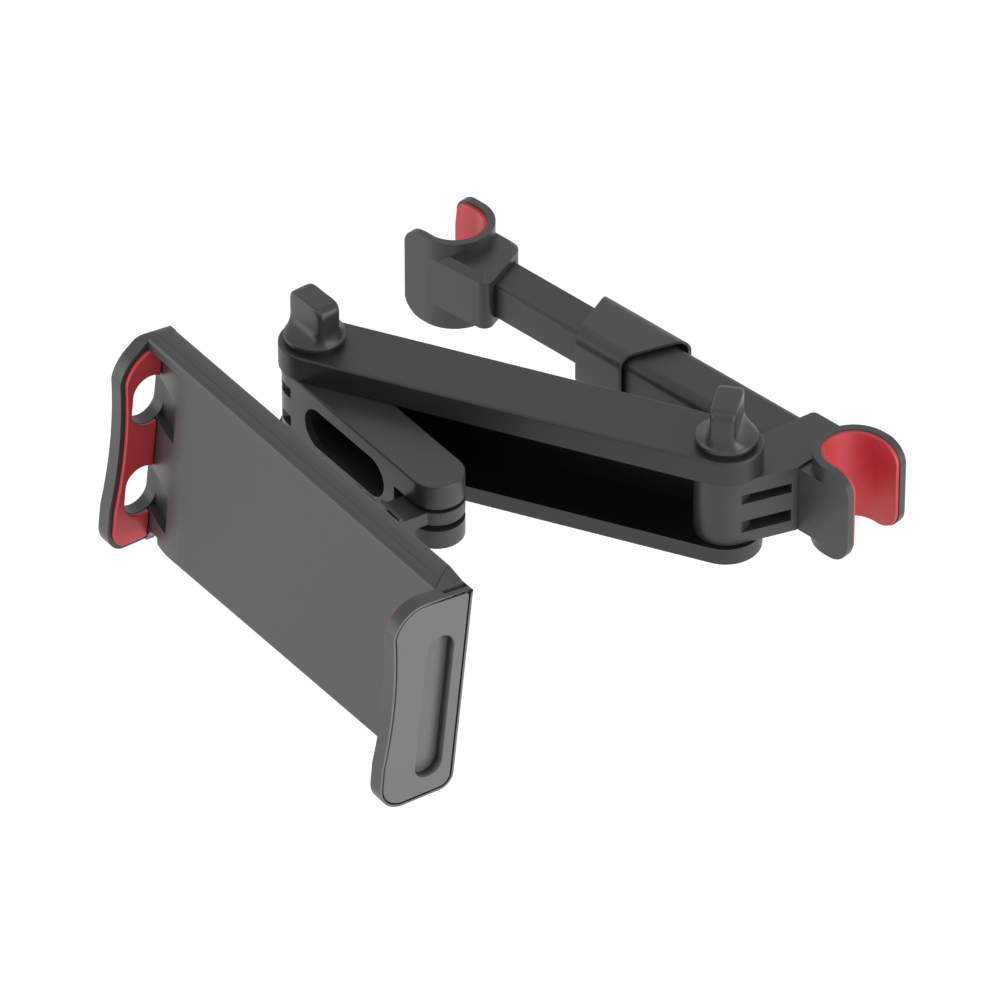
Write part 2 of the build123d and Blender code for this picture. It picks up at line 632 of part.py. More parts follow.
# Main arm: a channel open towards the tablet side, with a fork at each end
with BuildPart() as main_arm:
    with BuildSketch(plan(RIGHT_PIVOT, ARM_DIRECTION, ARM_BOTTOM)):
        with Locations((ARM_LENGTH / 2, 0)):
            SlotCenterToCenter(ARM_LENGTH, ARM_WIDTH)
    extrude(amount=BOTTOM_FLANGE)
    with BuildSketch(plan(RIGHT_PIVOT, ARM_DIRECTION, GAP_HIGH)):
        with Locations((ARM_LENGTH / 2, 0)):
            SlotCenterToCenter(ARM_LENGTH, ARM_WIDTH)
    extrude(amount=TOP_FLANGE)
    fillet(faces().sort_by(Axis.Z)[-1].edges(), radius=ARM_ROUND)
    fillet(faces().sort_by(Axis.Z)[0].edges(), radius=ARM_ROUND)
    web_start = BRACKET_BARREL + WEB_CLEARANCE
    web_end = ARM_LENGTH - SHORT_KNUCKLE - WEB_CLEARANCE
    with BuildSketch(plan(RIGHT_PIVOT, ARM_DIRECTION, GAP_LOW)):
        with Locations(((web_start + web_end) / 2, (WEB_WALL - ARM_WIDTH) / 2)):
            Rectangle(web_end - web_start, WEB_WALL)
    extrude(amount=GAP_HIGH - GAP_LOW)
    with BuildSketch(plan(RIGHT_PIVOT, ARM_DIRECTION, ARM_BOTTOM)):
        with Locations((0, 0), (ARM_LENGTH, 0)):
            Circle(SHAFT_HOLE)
    extrude(amount=ARM_TOP - ARM_BOTTOM, mode=Mode.SUBTRACT)
    with BuildSketch(plan(RIGHT_PIVOT, ARM_DIRECTION, ARM_BOTTOM)):
        with Locations((0, 0), (ARM_LENGTH, 0)):
            RegularPolygon(NUT_ACROSS / 2 + SEAT_GAP, 6, major_radius=False)
    extrude(amount=NUT_HEIGHT, mode=Mode.SUBTRACT)
main_arm.part.label = "main_arm"
export_step(main_arm.part, "parts/main_arm.step")

# Nuts, bolts, washers and winged knobs of the two clamping pivots
for side, pivot, wing_angle in (
    ("right", RIGHT_PIVOT, RIGHT_WING_ANGLE),
    ("left", LEFT_PIVOT, LEFT_WING_ANGLE),
):
    with BuildPart() as pivot_nut:
        with BuildSketch(plan(pivot, ARM_DIRECTION, ARM_BOTTOM)):
            RegularPolygon(NUT_ACROSS / 2, 6, major_radius=False)
            Circle(SHAFT_HOLE, mode=Mode.SUBTRACT)
        extrude(amount=NUT_HEIGHT - SEAT_GAP)
    pivot_nut.part.label = f"{side}_pivot_nut"
    export_step(pivot_nut.part, f"parts/{side}_pivot_nut.step")

    knob_base = ARM_TOP + WASHER_HEIGHT + 2 * SEAT_GAP
    with BuildPart() as knob_washer:
        with BuildSketch(plan(pivot, wing_angle, ARM_TOP + SEAT_GAP)):
            Circle(WASHER_RADIUS)
            Circle(SHAFT_HOLE, mode=Mode.SUBTRACT)
        extrude(amount=WASHER_HEIGHT)
    knob_washer.part.label = f"{side}_knob_washer"
    export_step(knob_washer.part, f"parts/{side}_knob_washer.step")

    with BuildPart() as pivot_bolt:
        with BuildSketch(plan(pivot, wing_angle, ARM_BOTTOM + BOLT_END)):
            Circle(BOLT_RADIUS)
        extrude(amount=knob_base - ARM_BOTTOM - BOLT_END)
        with BuildSketch(plan(pivot, wing_angle, knob_base)):
            RegularPolygon(BOLT_HEAD_RADIUS, 6)
        extrude(amount=BOLT_HEAD_HEIGHT)
    pivot_bolt.part.label = f"{side}_pivot_bolt"
    export_step(pivot_bolt.part, f"parts/{side}_pivot_bolt.step")

    with BuildPart() as knob:
        with BuildSketch(upright(pivot, wing_angle)):
            with BuildLine():
                Polyline((0, knob_base), (KNOB_RADIUS, knob_base), (KNOB_RADIUS, knob_base + KNOB_RIM))
                flank_bend = (
                    (KNOB_RADIUS + KNOB_NECK_RADIUS) / 2 - KNOB_SAG,
                    knob_base + (KNOB_RIM + KNOB_NECK_HEIGHT) / 2 - KNOB_SAG,
                )
                ThreePointArc(
                    (KNOB_RADIUS, knob_base + KNOB_RIM),
                    flank_bend,
                    (KNOB_NECK_RADIUS, knob_base + KNOB_NECK_HEIGHT),
                )
                Polyline(
                    (KNOB_NECK_RADIUS, knob_base + KNOB_NECK_HEIGHT),
                    (0, knob_base + KNOB_NECK_HEIGHT),
                    (0, knob_base),
                )
            make_face()
        revolve(axis=Axis((pivot.X, pivot.Y, 0), (0, 0, 1)))
        with BuildSketch(plan(pivot, wing_angle, knob_base + KNOB_RIM)):
            SlotOverall(WING_LENGTH, WING_WIDTH)
        extrude(amount=KNOB_HEIGHT - KNOB_RIM)
        fillet(faces().sort_by(Axis.Z)[-1].edges(), radius=WING_ROUND)
        with BuildSketch(plan(pivot, wing_angle, knob_base)):
            RegularPolygon(BOLT_HEAD_RADIUS + SEAT_GAP, 6)
        extrude(amount=BOLT_HEAD_HEIGHT + SEAT_GAP, mode=Mode.SUBTRACT)
    knob.part.label = f"{side}_knob"
    export_step(knob.part, f"parts/{side}_knob.step")

# Short arm: hollow behind a long window, with a fork for the link
with BuildPart() as short_arm:
    far_side = SHORT_WIDTH / 2 - SHORT_OFFSET
    far_start = sqrt(SHORT_KNUCKLE**2 - far_side**2)
    with BuildSketch(plan(LEFT_PIVOT, SHORT_DIRECTION, KNUCKLE_LOW)):
        with BuildLine():
            ThreePointArc((far_start, far_side), (-SHORT_KNUCKLE, 0), (0, -SHORT_KNUCKLE))
            Line((0, -SHORT_KNUCKLE), (SHORT_REACH, -SHORT_KNUCKLE))
            ThreePointArc(
                (SHORT_REACH, -SHORT_KNUCKLE),
                (SHORT_REACH + SHORT_WIDTH / 2, -SHORT_OFFSET),
                (SHORT_REACH, far_side),
            )
            Line((SHORT_REACH, far_side), (far_start, far_side))
        make_face()
        fillet(vertices().sort_by_distance((far_start, far_side, 0))[0], radius=KNUCKLE_BLEND)
    extrude(amount=KNUCKLE_HIGH - KNUCKLE_LOW)
    fillet(faces().sort_by(Axis.Z)[-1].edges(), radius=SHORT_ROUND)
    fillet(faces().sort_by(Axis.Z)[0].edges(), radius=SHORT_ROUND)
    fork_mouth = SHORT_WIDTH / 2 + FORK_SLOT_CLEARANCE
    with BuildSketch(plan(LEFT_PIVOT, SHORT_DIRECTION, FORK_SLOT_LOW)):
        with Locations((SHORT_REACH, -SHORT_OFFSET)):
            Rectangle(2 * fork_mouth, 2 * SHORT_WIDTH)
    extrude(amount=FORK_SLOT_HIGH - FORK_SLOT_LOW, mode=Mode.SUBTRACT)
    window_middle = ((WINDOW_START + WINDOW_END) / 2, (WINDOW_LOW + WINDOW_HIGH) / 2)
    near_side = upright(LEFT_PIVOT, SHORT_DIRECTION).offset(SHORT_OFFSET + SHORT_WIDTH / 2)
    with BuildSketch(near_side):
        with Locations(window_middle):
            SlotOverall(WINDOW_END - WINDOW_START, WINDOW_HIGH - WINDOW_LOW)
    extrude(amount=-SHORT_WALL, mode=Mode.SUBTRACT)
    with BuildSketch(near_side.offset(-SHORT_WALL)):
        with Locations(window_middle):
            RectangleRounded(
                WINDOW_END - WINDOW_START, KNUCKLE_HIGH - KNUCKLE_LOW - 2 * SHORT_WALL, SHORT_WALL
            )
    extrude(amount=2 * SHORT_WALL - SHORT_WIDTH, mode=Mode.SUBTRACT)
    for low, high in KNUCKLE_SLOTS:
        with BuildSketch(plan(LEFT_PIVOT, SHORT_DIRECTION, low)):
            near = -SHORT_OFFSET - SHORT_WIDTH / 2
            with BuildLine():
                Polyline(
                    (KNUCKLE_SLOT_START, near),
                    (KNUCKLE_SLOT_END, near),
                    (KNUCKLE_SLOT_END, near + KNUCKLE_SLOT_SCOOP),
                    close=True,
                )
            make_face()
        extrude(amount=high - low, mode=Mode.SUBTRACT)
    with BuildSketch(plan(LEFT_PIVOT, SHORT_DIRECTION, KNUCKLE_LOW)):
        Circle(SHAFT_HOLE)
    extrude(amount=KNUCKLE_HIGH - KNUCKLE_LOW, mode=Mode.SUBTRACT)
    with BuildSketch(plan(END_PIVOT, SHORT_DIRECTION, KNUCKLE_LOW)):
        Circle(END_SCREW_RADIUS + SEAT_GAP)
    extrude(amount=END_SCREW_TOP + SEAT_GAP - KNUCKLE_LOW, mode=Mode.SUBTRACT)
    with BuildSketch(plan(END_PIVOT, SHORT_DIRECTION, KNUCKLE_LOW)):
        Circle(END_SCREW_HEAD_RADIUS + SEAT_GAP)
    extrude(amount=END_SCREW_HEAD_HEIGHT, mode=Mode.SUBTRACT)
short_arm.part.label = "short_arm"
export_step(short_arm.part, "parts/short_arm.step")

with BuildPart() as end_pivot_screw:
    with BuildSketch(plan(END_PIVOT, SHORT_DIRECTION, KNUCKLE_LOW + SEAT_GAP)):
        Circle(END_SCREW_HEAD_RADIUS)
    extrude(amount=END_SCREW_HEAD_HEIGHT - 2 * SEAT_GAP)
    with BuildSketch(plan(END_PIVOT, SHORT_DIRECTION, KNUCKLE_LOW + END_SCREW_HEAD_HEIGHT - SEAT_GAP)):
        Circle(END_SCREW_RADIUS)
    extrude(amount=END_SCREW_TOP - KNUCKLE_LOW - END_SCREW_HEAD_HEIGHT + SEAT_GAP)
end_pivot_screw.part.label = "end_pivot_screw"
export_step(end_pivot_screw.part, "parts/end_pivot_screw.step")

# Swivel link: flat tongue in the fork, stem and ball
with BuildPart() as swivel_link:
    with BuildSketch(plan(END_PIVOT, LINK_DIRECTION, TONGUE_LOW)):
        Circle(SHORT_WIDTH / 2)
        with Locations((STEM_END / 2, 0)):
            Rectangle(STEM_END, LINK_WIDTH)
        Circle(END_SCREW_RADIUS + SHAFT_GAP, mode=Mode.SUBTRACT)
    extrude(amount=TONGUE_THICKNESS)
    with BuildSketch(plan(END_PIVOT, LINK_DIRECTION, BALL_Z - STEM_HEIGHT / 2)):
        with Locations(((STEM_START + STEM_END) / 2, 0)):
            Rectangle(STEM_END - STEM_START, LINK_WIDTH)
    extrude(amount=STEM_HEIGHT)
    with BuildSketch(Plane(origin=BALL_CENTRE, z_dir=-heading(LINK_DIRECTION))):
        Circle(BALL_NECK_RADIUS)
    extrude(amount=LINK_REACH - (STEM_START + STEM_END) / 2)
    with Locations(BALL_CENTRE):
        Sphere(BALL_RADIUS)
swivel_link.part.label = "swivel_link"
export_step(swivel_link.part, "parts/swivel_link.step")

# Ball cup: slit socket, with its base turning in a ring on the clamp's back
cup_back = -SLIDE_GAP
cup_mouth = -BALL_DEPTH - CUP_MOUTH
ball_plane = Plane(origin=CLAMP_BACK + ALONG * BALL_SIDE, x_dir=ALONG, z_dir=UP)
ball_line = Axis(ball_plane.origin, FRONT)
with BuildPart() as ball_cup:
    with BuildSketch(ball_plane):
        with Locations((CUP_RADIUS / 2, -(cup_back + cup_mouth) / 2)):
            Rectangle(CUP_RADIUS, cup_back - cup_mouth)
    revolve(axis=ball_line)
    with Locations(BALL_CENTRE):
        Sphere(BALL_RADIUS + CUP_GAP, mode=Mode.SUBTRACT)
    with BuildSketch(Plane(origin=ball_plane.origin + FRONT * cup_mouth, x_dir=ALONG, z_dir=FRONT)):
        with PolarLocations(CUP_RADIUS, CUP_SLITS):
            Rectangle(CUP_RADIUS, CUP_SLIT_WIDTH)
    extrude(amount=-cup_mouth - CUP_BASE, mode=Mode.SUBTRACT)
ball_cup.part.label = "ball_cup"
export_step(ball_cup.part, "parts/ball_cup.step")

with BuildPart() as ball_ring_nut:
    with BuildSketch(Plane(origin=ball_plane.origin - FRONT * RING_START, x_dir=ALONG, z_dir=-FRONT)):
        Circle(RING_RADIUS)
        Circle(CUP_RADIUS + SHAFT_GAP, mode=Mode.SUBTRACT)
        with PolarLocations(RING_RADIUS, RING_GRIPS):
            Circle(RING_GRIP_RADIUS, mode=Mode.SUBTRACT)
    extrude(amount=RING_LENGTH)
ball_ring_nut.part.label = "ball_ring_nut"
export_step(ball_ring_nut.part, "parts/ball_ring_nut.step")

# Clamp's back cover: a tray with a turntable ring for the ball cup and pegs for the springs
with BuildPart() as clamp_rear_cover:
    with BuildSketch(across(PLATE_LEFT + SEAT_GAP)):
        band(0, PARTING - SEAT_GAP, PLATE_HALF)
    extrude(amount=SHELL_LENGTH - SEAT_GAP)
    back_edges = edges().filter_by(lambda edge: abs(edge.length - SHELL_LENGTH) < 2 * SEAT_GAP)
    fillet(back_edges.sort_by(Axis(CLAMP_BACK, FRONT))[:2], radius=BACK_ROUND)
    with BuildSketch(profile_plane(0)):
        add_seam_wedge(PLATE_RIGHT)
    extrude(amount=PLATE_HEIGHT, both=True, mode=Mode.SUBTRACT)
    with BuildSketch(across(PLATE_LEFT)):
        band(CLAMP_WALL, PARTING, CAVITY_HALF)
    extrude(amount=PLATE_RIGHT - END_WALL - PLATE_LEFT, mode=Mode.SUBTRACT)
    with BuildSketch(across(PLATE_RIGHT - END_WALL)):
        band(CLAMP_WALL, PARTING, TONGUE_HALF + SLIDE_GAP)
    extrude(amount=END_WALL + BLOCK_LENGTH, mode=Mode.SUBTRACT)
    with BuildSketch(profile_plane(-PLATE_HALF - JAW_DROP)):
        add_dip()
    extrude(amount=-(DIP_TOP + PLATE_HALF + JAW_DROP), mode=Mode.SUBTRACT)
    with BuildSketch(facing(CLAMP_WALL)):
        with Locations((PEG_ALONG, -PEG_UP), (PEG_ALONG, PEG_UP)):
            Circle(PEG_RADIUS)
    extrude(amount=CAVITY_FRONT - CLAMP_WALL - SLIDE_GAP)
    with BuildSketch(facing(-TURNTABLE_HEIGHT)):
        with Locations((BALL_SIDE, 0)):
            Circle(CUP_RADIUS + SLIDE_GAP + TURNTABLE_WALL)
            Circle(CUP_RADIUS + SLIDE_GAP, mode=Mode.SUBTRACT)
    extrude(amount=TURNTABLE_HEIGHT)
    with BuildSketch(facing(0)):
        with GridLocations(2 * SCREW_ALONG, 2 * SCREW_UP, 2, 2):
            Circle(SCREW_RADIUS + SEAT_GAP)
    extrude(amount=PARTING, mode=Mode.SUBTRACT)
    with BuildSketch(facing(0)):
        with GridLocations(2 * SCREW_ALONG, 2 * SCREW_UP, 2, 2):
            Circle(SCREW_HEAD_RADIUS + SEAT_GAP)
    extrude(amount=SCREW_HEAD_HEIGHT, mode=Mode.SUBTRACT)
clamp_rear_cover.part.label = "clamp_rear_cover"
export_step(clamp_rear_cover.part, "parts/clamp_rear_cover.step")

# Clamp's front shell with the fixed left jaw, its two windows and their scoops
with BuildPart() as clamp_body:
    with BuildSketch(across(PLATE_LEFT)):
        band(PARTING, PLATE_THICKNESS, PLATE_HALF)
    extrude(amount=SHELL_LENGTH)
    front_edges = edges().filter_by(lambda edge: abs(edge.length - SHELL_LENGTH) < SEAT_GAP)
    fillet(front_edges.sort_by(Axis(CLAMP_BACK, FRONT))[-2:], radius=FRONT_ROUND)
    with BuildSketch(facing(FLARE_BACK)):
        with BuildLine():
            Polyline(
                (PLATE_LEFT + FLARE_LENGTH, -PLATE_HALF),
                (PLATE_LEFT, -PLATE_HALF),
                (PLATE_LEFT, -PLATE_HALF - FLARE_DROP),
            )
            ThreePointArc(
                (PLATE_LEFT, -PLATE_HALF - FLARE_DROP),
                (PLATE_LEFT + FLARE_LENGTH * FLARE_BEND, -PLATE_HALF - FLARE_DROP * FLARE_BEND),
                (PLATE_LEFT + FLARE_LENGTH, -PLATE_HALF),
            )
        make_face()
    extrude(amount=PLATE_THICKNESS - FLARE_BACK)
    with BuildSketch(across(PLATE_LEFT)):
        band(CLAMP_WALL + SEAT_GAP, PARTING, CAVITY_HALF - SEAT_GAP)
    extrude(amount=ROOT_BLOCK)
    with BuildSketch(profile_plane(-PLATE_HALF - JAW_DROP)):
        add_dip()
    extrude(amount=-(DIP_TOP + PLATE_HALF + JAW_DROP), mode=Mode.SUBTRACT)
    with BuildSketch(across(-HALF_LENGTH)):
        add_jaw_outline(LEFT_JAW)
    extrude(amount=JAW_WALL)
    with BuildSketch(across(CAVITY_LEFT)):
        band(PARTING, CAVITY_FRONT, CAVITY_HALF)
    extrude(amount=PLATE_RIGHT - END_WALL - CAVITY_LEFT, mode=Mode.SUBTRACT)
    with BuildSketch(across(PLATE_RIGHT - END_WALL)):
        band(PARTING, CAVITY_FRONT, TONGUE_HALF + SLIDE_GAP)
    extrude(amount=END_WALL + BLOCK_LENGTH, mode=Mode.SUBTRACT)
    with BuildSketch(profile_plane(0)):
        add_seam_wedge(PLATE_RIGHT)
    extrude(amount=PLATE_HEIGHT, both=True, mode=Mode.SUBTRACT)
    with BuildSketch(across(-HALF_LENGTH)):
        for middle in HOLE_CENTRES:
            with Locations((middle, (HOLE_LOW + HOLE_HIGH) / 2)):
                SlotOverall(HOLE_HEIGHT, HOLE_HIGH - HOLE_LOW)
    extrude(amount=JAW_WALL, mode=Mode.SUBTRACT)
    for middle in HOLE_CENTRES:
        with BuildSketch(profile_plane(middle)):
            with BuildLine():
                Polyline(
                    (PLATE_LEFT, HOLE_LOW),
                    (PLATE_LEFT, PLATE_THICKNESS + CLAMP_WALL),
                    (PLATE_LEFT + SCOOP_LENGTH, PLATE_THICKNESS + CLAMP_WALL),
                    (PLATE_LEFT + SCOOP_LENGTH, PLATE_THICKNESS),
                )
                ThreePointArc(
                    (PLATE_LEFT + SCOOP_LENGTH, PLATE_THICKNESS),
                    (PLATE_LEFT + SCOOP_LENGTH * SCOOP_SAG, HOLE_LOW + SCOOP_RISE * (PLATE_THICKNESS - HOLE_LOW)),
                    (PLATE_LEFT, HOLE_LOW),
                )
            make_face()
        extrude(amount=SCOOP_HEIGHT / 2, both=True, mode=Mode.SUBTRACT)
    with BuildSketch(facing(CLAMP_WALL + SEAT_GAP)):
        with GridLocations(2 * SCREW_ALONG, 2 * SCREW_UP, 2, 2):
            Circle(BOSS_RADIUS)
    extrude(amount=CAVITY_FRONT - CLAMP_WALL - SEAT_GAP)
    with BuildSketch(facing(CLAMP_WALL + SEAT_GAP)):
        with GridLocations(2 * SCREW_ALONG, 2 * SCREW_UP, 2, 2):
            Circle(SCREW_RADIUS + SEAT_GAP)
    extrude(amount=CAVITY_FRONT - CLAMP_WALL, mode=Mode.SUBTRACT)
clamp_body.part.label = "clamp_body"
export_step(clamp_body.part, "parts/clamp_body.step")

# Four screws that hold the back cover to the front shell's bosses
with BuildPart() as cover_screws:
    with BuildSketch(facing(SEAT_GAP)):
        with GridLocations(2 * SCREW_ALONG, 2 * SCREW_UP, 2, 2):
            Circle(SCREW_HEAD_RADIUS)
    extrude(amount=SCREW_HEAD_HEIGHT - SEAT_GAP)
    with BuildSketch(facing(SCREW_HEAD_HEIGHT)):
        with GridLocations(2 * SCREW_ALONG, 2 * SCREW_UP, 2, 2):
            Circle(SCREW_RADIUS)
    extrude(amount=CAVITY_FRONT - SCREW_HEAD_HEIGHT)
cover_screws.part.label = "cover_screws"
export_step(cover_screws.part, "parts/cover_screws.step")

# Sliding half: tongue with two ears, end block and right jaw
with BuildPart() as clamp_slider:
    with BuildSketch(across(BLOCK_LEFT)):
        section = Rectangle(2 * PLATE_HALF, PLATE_THICKNESS, align=(Align.CENTER, Align.MIN))
        fillet(section.vertices().group_by(Axis.Y)[0], radius=BACK_ROUND)
        fillet(section.vertices().group_by(Axis.Y)[-1], radius=FRONT_ROUND)
    extrude(amount=BLOCK_LENGTH)
    with BuildSketch(profile_plane(0)):
        add_seam_wedge(BLOCK_LEFT)
    extrude(amount=PLATE_HEIGHT, both=True, mode=Mode.INTERSECT)
    with BuildSketch(across(TONGUE_LEFT)):
        band(TONGUE_BACK, TONGUE_FRONT, TONGUE_HALF)
    extrude(amount=JAW_FACE - TONGUE_LEFT)
    with BuildSketch(across(EAR_LEFT)):
        band(TONGUE_BACK, TONGUE_FRONT, EAR_HALF)
    extrude(amount=EAR_RIGHT - EAR_LEFT)
    with BuildSketch(across(HALF_LENGTH - JAW_WALL)):
        add_jaw_outline(RIGHT_JAW)
    extrude(amount=JAW_WALL)
    with BuildSketch(across(HALF_LENGTH - COVER_THICKNESS)):
        add_jaw_outline(RIGHT_JAW, COVER_INSET)
    extrude(amount=COVER_THICKNESS, mode=Mode.SUBTRACT)
    with BuildSketch(across(HALF_LENGTH - COVER_THICKNESS - NOTCH_WIDTH)):
        with Locations((PLATE_HALF, PLATE_THICKNESS / 2)):
            Rectangle(2 * NOTCH_DEPTH, PLATE_THICKNESS - 2 * NOTCH_BACK)
    extrude(amount=NOTCH_WIDTH, mode=Mode.SUBTRACT)
    slot_middle = (COVER_SLOT_UP, COVER_SLOT_FRONT)
    with BuildSketch(across(HALF_LENGTH - JAW_WALL + COVER_SLOT_FLOOR)):
        with Locations(slot_middle):
            SlotOverall(COVER_SLOT_LENGTH, COVER_SLOT_WIDTH)
    extrude(amount=JAW_WALL, mode=Mode.SUBTRACT)
clamp_slider.part.label = "clamp_slider"
export_step(clamp_slider.part, "parts/clamp_slider.step")

with BuildPart() as right_jaw_cover:
    with BuildSketch(across(HALF_LENGTH - COVER_THICKNESS + SEAT_GAP)):
        add_jaw_outline(RIGHT_JAW, COVER_INSET + COVER_GAP)
        with Locations(slot_middle):
            SlotOverall(COVER_SLOT_LENGTH, COVER_SLOT_WIDTH, mode=Mode.SUBTRACT)
    extrude(amount=COVER_THICKNESS - SEAT_GAP)
right_jaw_cover.part.label = "right_jaw_cover"
export_step(right_jaw_cover.part, "parts/right_jaw_cover.step")

# Pads on the insides of the jaws
dip_left = (DIP_LENGTH - JAW_PAD_WALL - 2 * SEAT_GAP) / DIP_LENGTH
pad_low = PLATE_THICKNESS - DIP_DEPTH * dip_left**2 + 2 * SEAT_GAP
with BuildPart() as left_jaw_pad:
    with BuildSketch(across(PLATE_LEFT + SEAT_GAP)):
        add_jaw_outline(LEFT_JAW, JAW_PAD_INSET)
        with Locations((0, pad_low / 2)):
            Rectangle(2 * PLATE_HEIGHT, pad_low, mode=Mode.SUBTRACT)
        with Locations((DIP_TOP - SEAT_GAP, 0)):
            Rectangle(
                PLATE_HEIGHT,
                PLATE_THICKNESS + SEAT_GAP,
                align=(Align.MIN, Align.MIN),
                mode=Mode.SUBTRACT,
            )
        for middle in HOLE_CENTRES:
            with Locations((middle, (HOLE_LOW + HOLE_HIGH) / 2)):
                SlotOverall(HOLE_HEIGHT, HOLE_HIGH - HOLE_LOW, mode=Mode.SUBTRACT)
    extrude(amount=JAW_PAD_WALL)
left_jaw_pad.part.label = "left_jaw_pad"
export_step(left_jaw_pad.part, "parts/left_jaw_pad.step")

with BuildPart() as right_jaw_pad:
    with BuildSketch(across(HALF_LENGTH - JAW_WALL - SEAT_GAP)):
        add_jaw_outline(RIGHT_JAW, JAW_PAD_INSET)
        with Locations((0, PLATE_THICKNESS / 2)):
            Rectangle(2 * PLATE_HEIGHT, PLATE_THICKNESS + 2 * SEAT_GAP, mode=Mode.SUBTRACT)
    extrude(amount=-JAW_PAD_WALL)
right_jaw_pad.part.label = "right_jaw_pad"
export_step(right_jaw_pad.part, "parts/right_jaw_pad.step")

# Two extension springs from the cover's pegs to the tongue's ears
pull_start = PEG_ALONG + PEG_RADIUS + PULL_WIRE / 2 + SLIDE_GAP
pull_length = EAR_LEFT - PULL_WIRE / 2 - SLIDE_GAP - pull_start
spring_depth = (CLAMP_WALL + CAVITY_FRONT) / 2
with BuildPart() as clamp_springs:
    for up in (-PEG_UP, PEG_UP):
        with BuildLine() as coil:
            Helix(
                pitch=pull_length / PULL_TURNS,
                height=pull_length,
                radius=PULL_RADIUS,
                center=CLAMP_BACK + ALONG * pull_start + UP * up + FRONT * spring_depth,
                direction=ALONG,
            )
        with BuildSketch(Plane(origin=coil.line @ 0, z_dir=coil.line % 0)):
            RegularPolygon(PULL_WIRE / 2, 6)
        sweep(path=coil.line, is_frenet=True)
clamp_springs.part.label = "clamp_springs"
export_step(clamp_springs.part, "parts/clamp_springs.step")
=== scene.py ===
import json
import math

import bmesh
import bpy
from mathutils import Matrix, Vector


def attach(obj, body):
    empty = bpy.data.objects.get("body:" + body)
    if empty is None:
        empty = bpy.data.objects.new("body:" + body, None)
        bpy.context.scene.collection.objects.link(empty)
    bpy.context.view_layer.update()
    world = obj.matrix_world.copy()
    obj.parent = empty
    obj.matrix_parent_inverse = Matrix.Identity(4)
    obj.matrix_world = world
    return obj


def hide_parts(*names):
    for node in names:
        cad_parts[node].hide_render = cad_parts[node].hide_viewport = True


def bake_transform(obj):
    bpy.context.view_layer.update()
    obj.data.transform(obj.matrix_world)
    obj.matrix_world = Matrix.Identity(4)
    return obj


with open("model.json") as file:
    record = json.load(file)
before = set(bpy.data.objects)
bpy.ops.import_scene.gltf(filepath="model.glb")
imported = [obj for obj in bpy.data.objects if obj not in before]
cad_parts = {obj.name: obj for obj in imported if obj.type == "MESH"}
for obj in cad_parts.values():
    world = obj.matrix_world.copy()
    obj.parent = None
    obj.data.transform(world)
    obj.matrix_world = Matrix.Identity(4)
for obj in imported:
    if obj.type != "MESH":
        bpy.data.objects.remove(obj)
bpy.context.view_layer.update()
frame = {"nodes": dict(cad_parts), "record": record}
scene = bpy.context.scene
MM = 0.001


# Colour and material helpers
def to_linear(hex_code):
    """An sRGB hex colour as the linear RGBA that Blender's sockets take."""
    linear = []
    for first in (1, 3, 5):
        value = int(hex_code[first:first + 2], 16) / 255
        linear.append(value / 12.92 if value <= 0.04045 else ((value + 0.055) / 1.055) ** 2.4)
    return (*linear, 1.0)


def add_node(tree, kind, settings=None, inputs=None, links=None):
    """Adds one node with its settings, its socket values and its incoming links."""
    made = tree.nodes.new(kind)
    for name, value in (settings or {}).items():
        setattr(made, name, value)
    for name, value in (inputs or {}).items():
        made.inputs[name].default_value = value
    for name, source in (links or {}).items():
        tree.links.new(source, made.inputs[name])
    return made


def start_material(name, colour, **shader):
    """A material with its shader set, and the Object coordinates that its patterns read."""
    material = bpy.data.materials.new(name)
    material.use_nodes = True
    tree = material.node_tree
    tree.nodes.clear()
    surface = add_node(tree, "ShaderNodeBsdfPrincipled",
                       inputs={"Base Color": to_linear(colour), **shader})
    add_node(tree, "ShaderNodeOutputMaterial", links={"Surface": surface.outputs[0]})
    coordinates = add_node(tree, "ShaderNodeTexCoord")
    return material, tree, surface, coordinates.outputs["Object"]


def texture_skin(tree, surface, grain, smoothest, roughest, bump, depth_mm):
    """Lets one grain vary the roughness between two values and lift the skin a little."""
    sheen = add_node(tree, "ShaderNodeMapRange", inputs={"To Min": smoothest, "To Max": roughest},
                     links={"Value": grain})
    relief = add_node(tree, "ShaderNodeBump",
                      inputs={"Strength": bump, "Distance": depth_mm * MM},
                      links={"Height": grain})
    tree.links.new(sheen.outputs[0], surface.inputs["Roughness"])
    tree.links.new(relief.outputs[0], surface.inputs["Normal"])


PLASTIC_IOR = 1.5
FLOW_MM = 45  # how wide the soft patches are that the plastic's flow leaves
GRAIN_DEPTH_MM = 0.03
# The Mix node's sockets share their names, so its colour ones are taken by number
MIX_SHARE, MIX_FIRST, MIX_SECOND, MIX_COLOUR = 0, 6, 7, 2


def moulded_plastic(name, colour, deeper, grain_mm, rough, rough_spread, bump):
    """Injection-moulded plastic: an even eroded grain, and broad soft patches where it flowed."""
    material, tree, surface, place = start_material(name, colour, Roughness=rough,
                                                    IOR=PLASTIC_IOR)
    grain = add_node(tree, "ShaderNodeTexNoise",
                     inputs={"Scale": 1 / (grain_mm * MM), "Detail": 2.0, "Roughness": 0.6},
                     links={"Vector": place})
    flow = add_node(tree, "ShaderNodeTexNoise",
                    inputs={"Scale": 1 / (FLOW_MM * MM), "Detail": 3.0, "Roughness": 0.5},
                    links={"Vector": place})
    tint = add_node(tree, "ShaderNodeMix", settings={"data_type": "RGBA"},
                    inputs={MIX_FIRST: to_linear(colour), MIX_SECOND: to_linear(deeper)},
                    links={MIX_SHARE: flow.outputs[0]})
    tree.links.new(tint.outputs[MIX_COLOUR], surface.inputs["Base Color"])
    texture_skin(tree, surface, grain.outputs[0], rough - rough_spread, rough + rough_spread,
                 bump, GRAIN_DEPTH_MM)
    return material


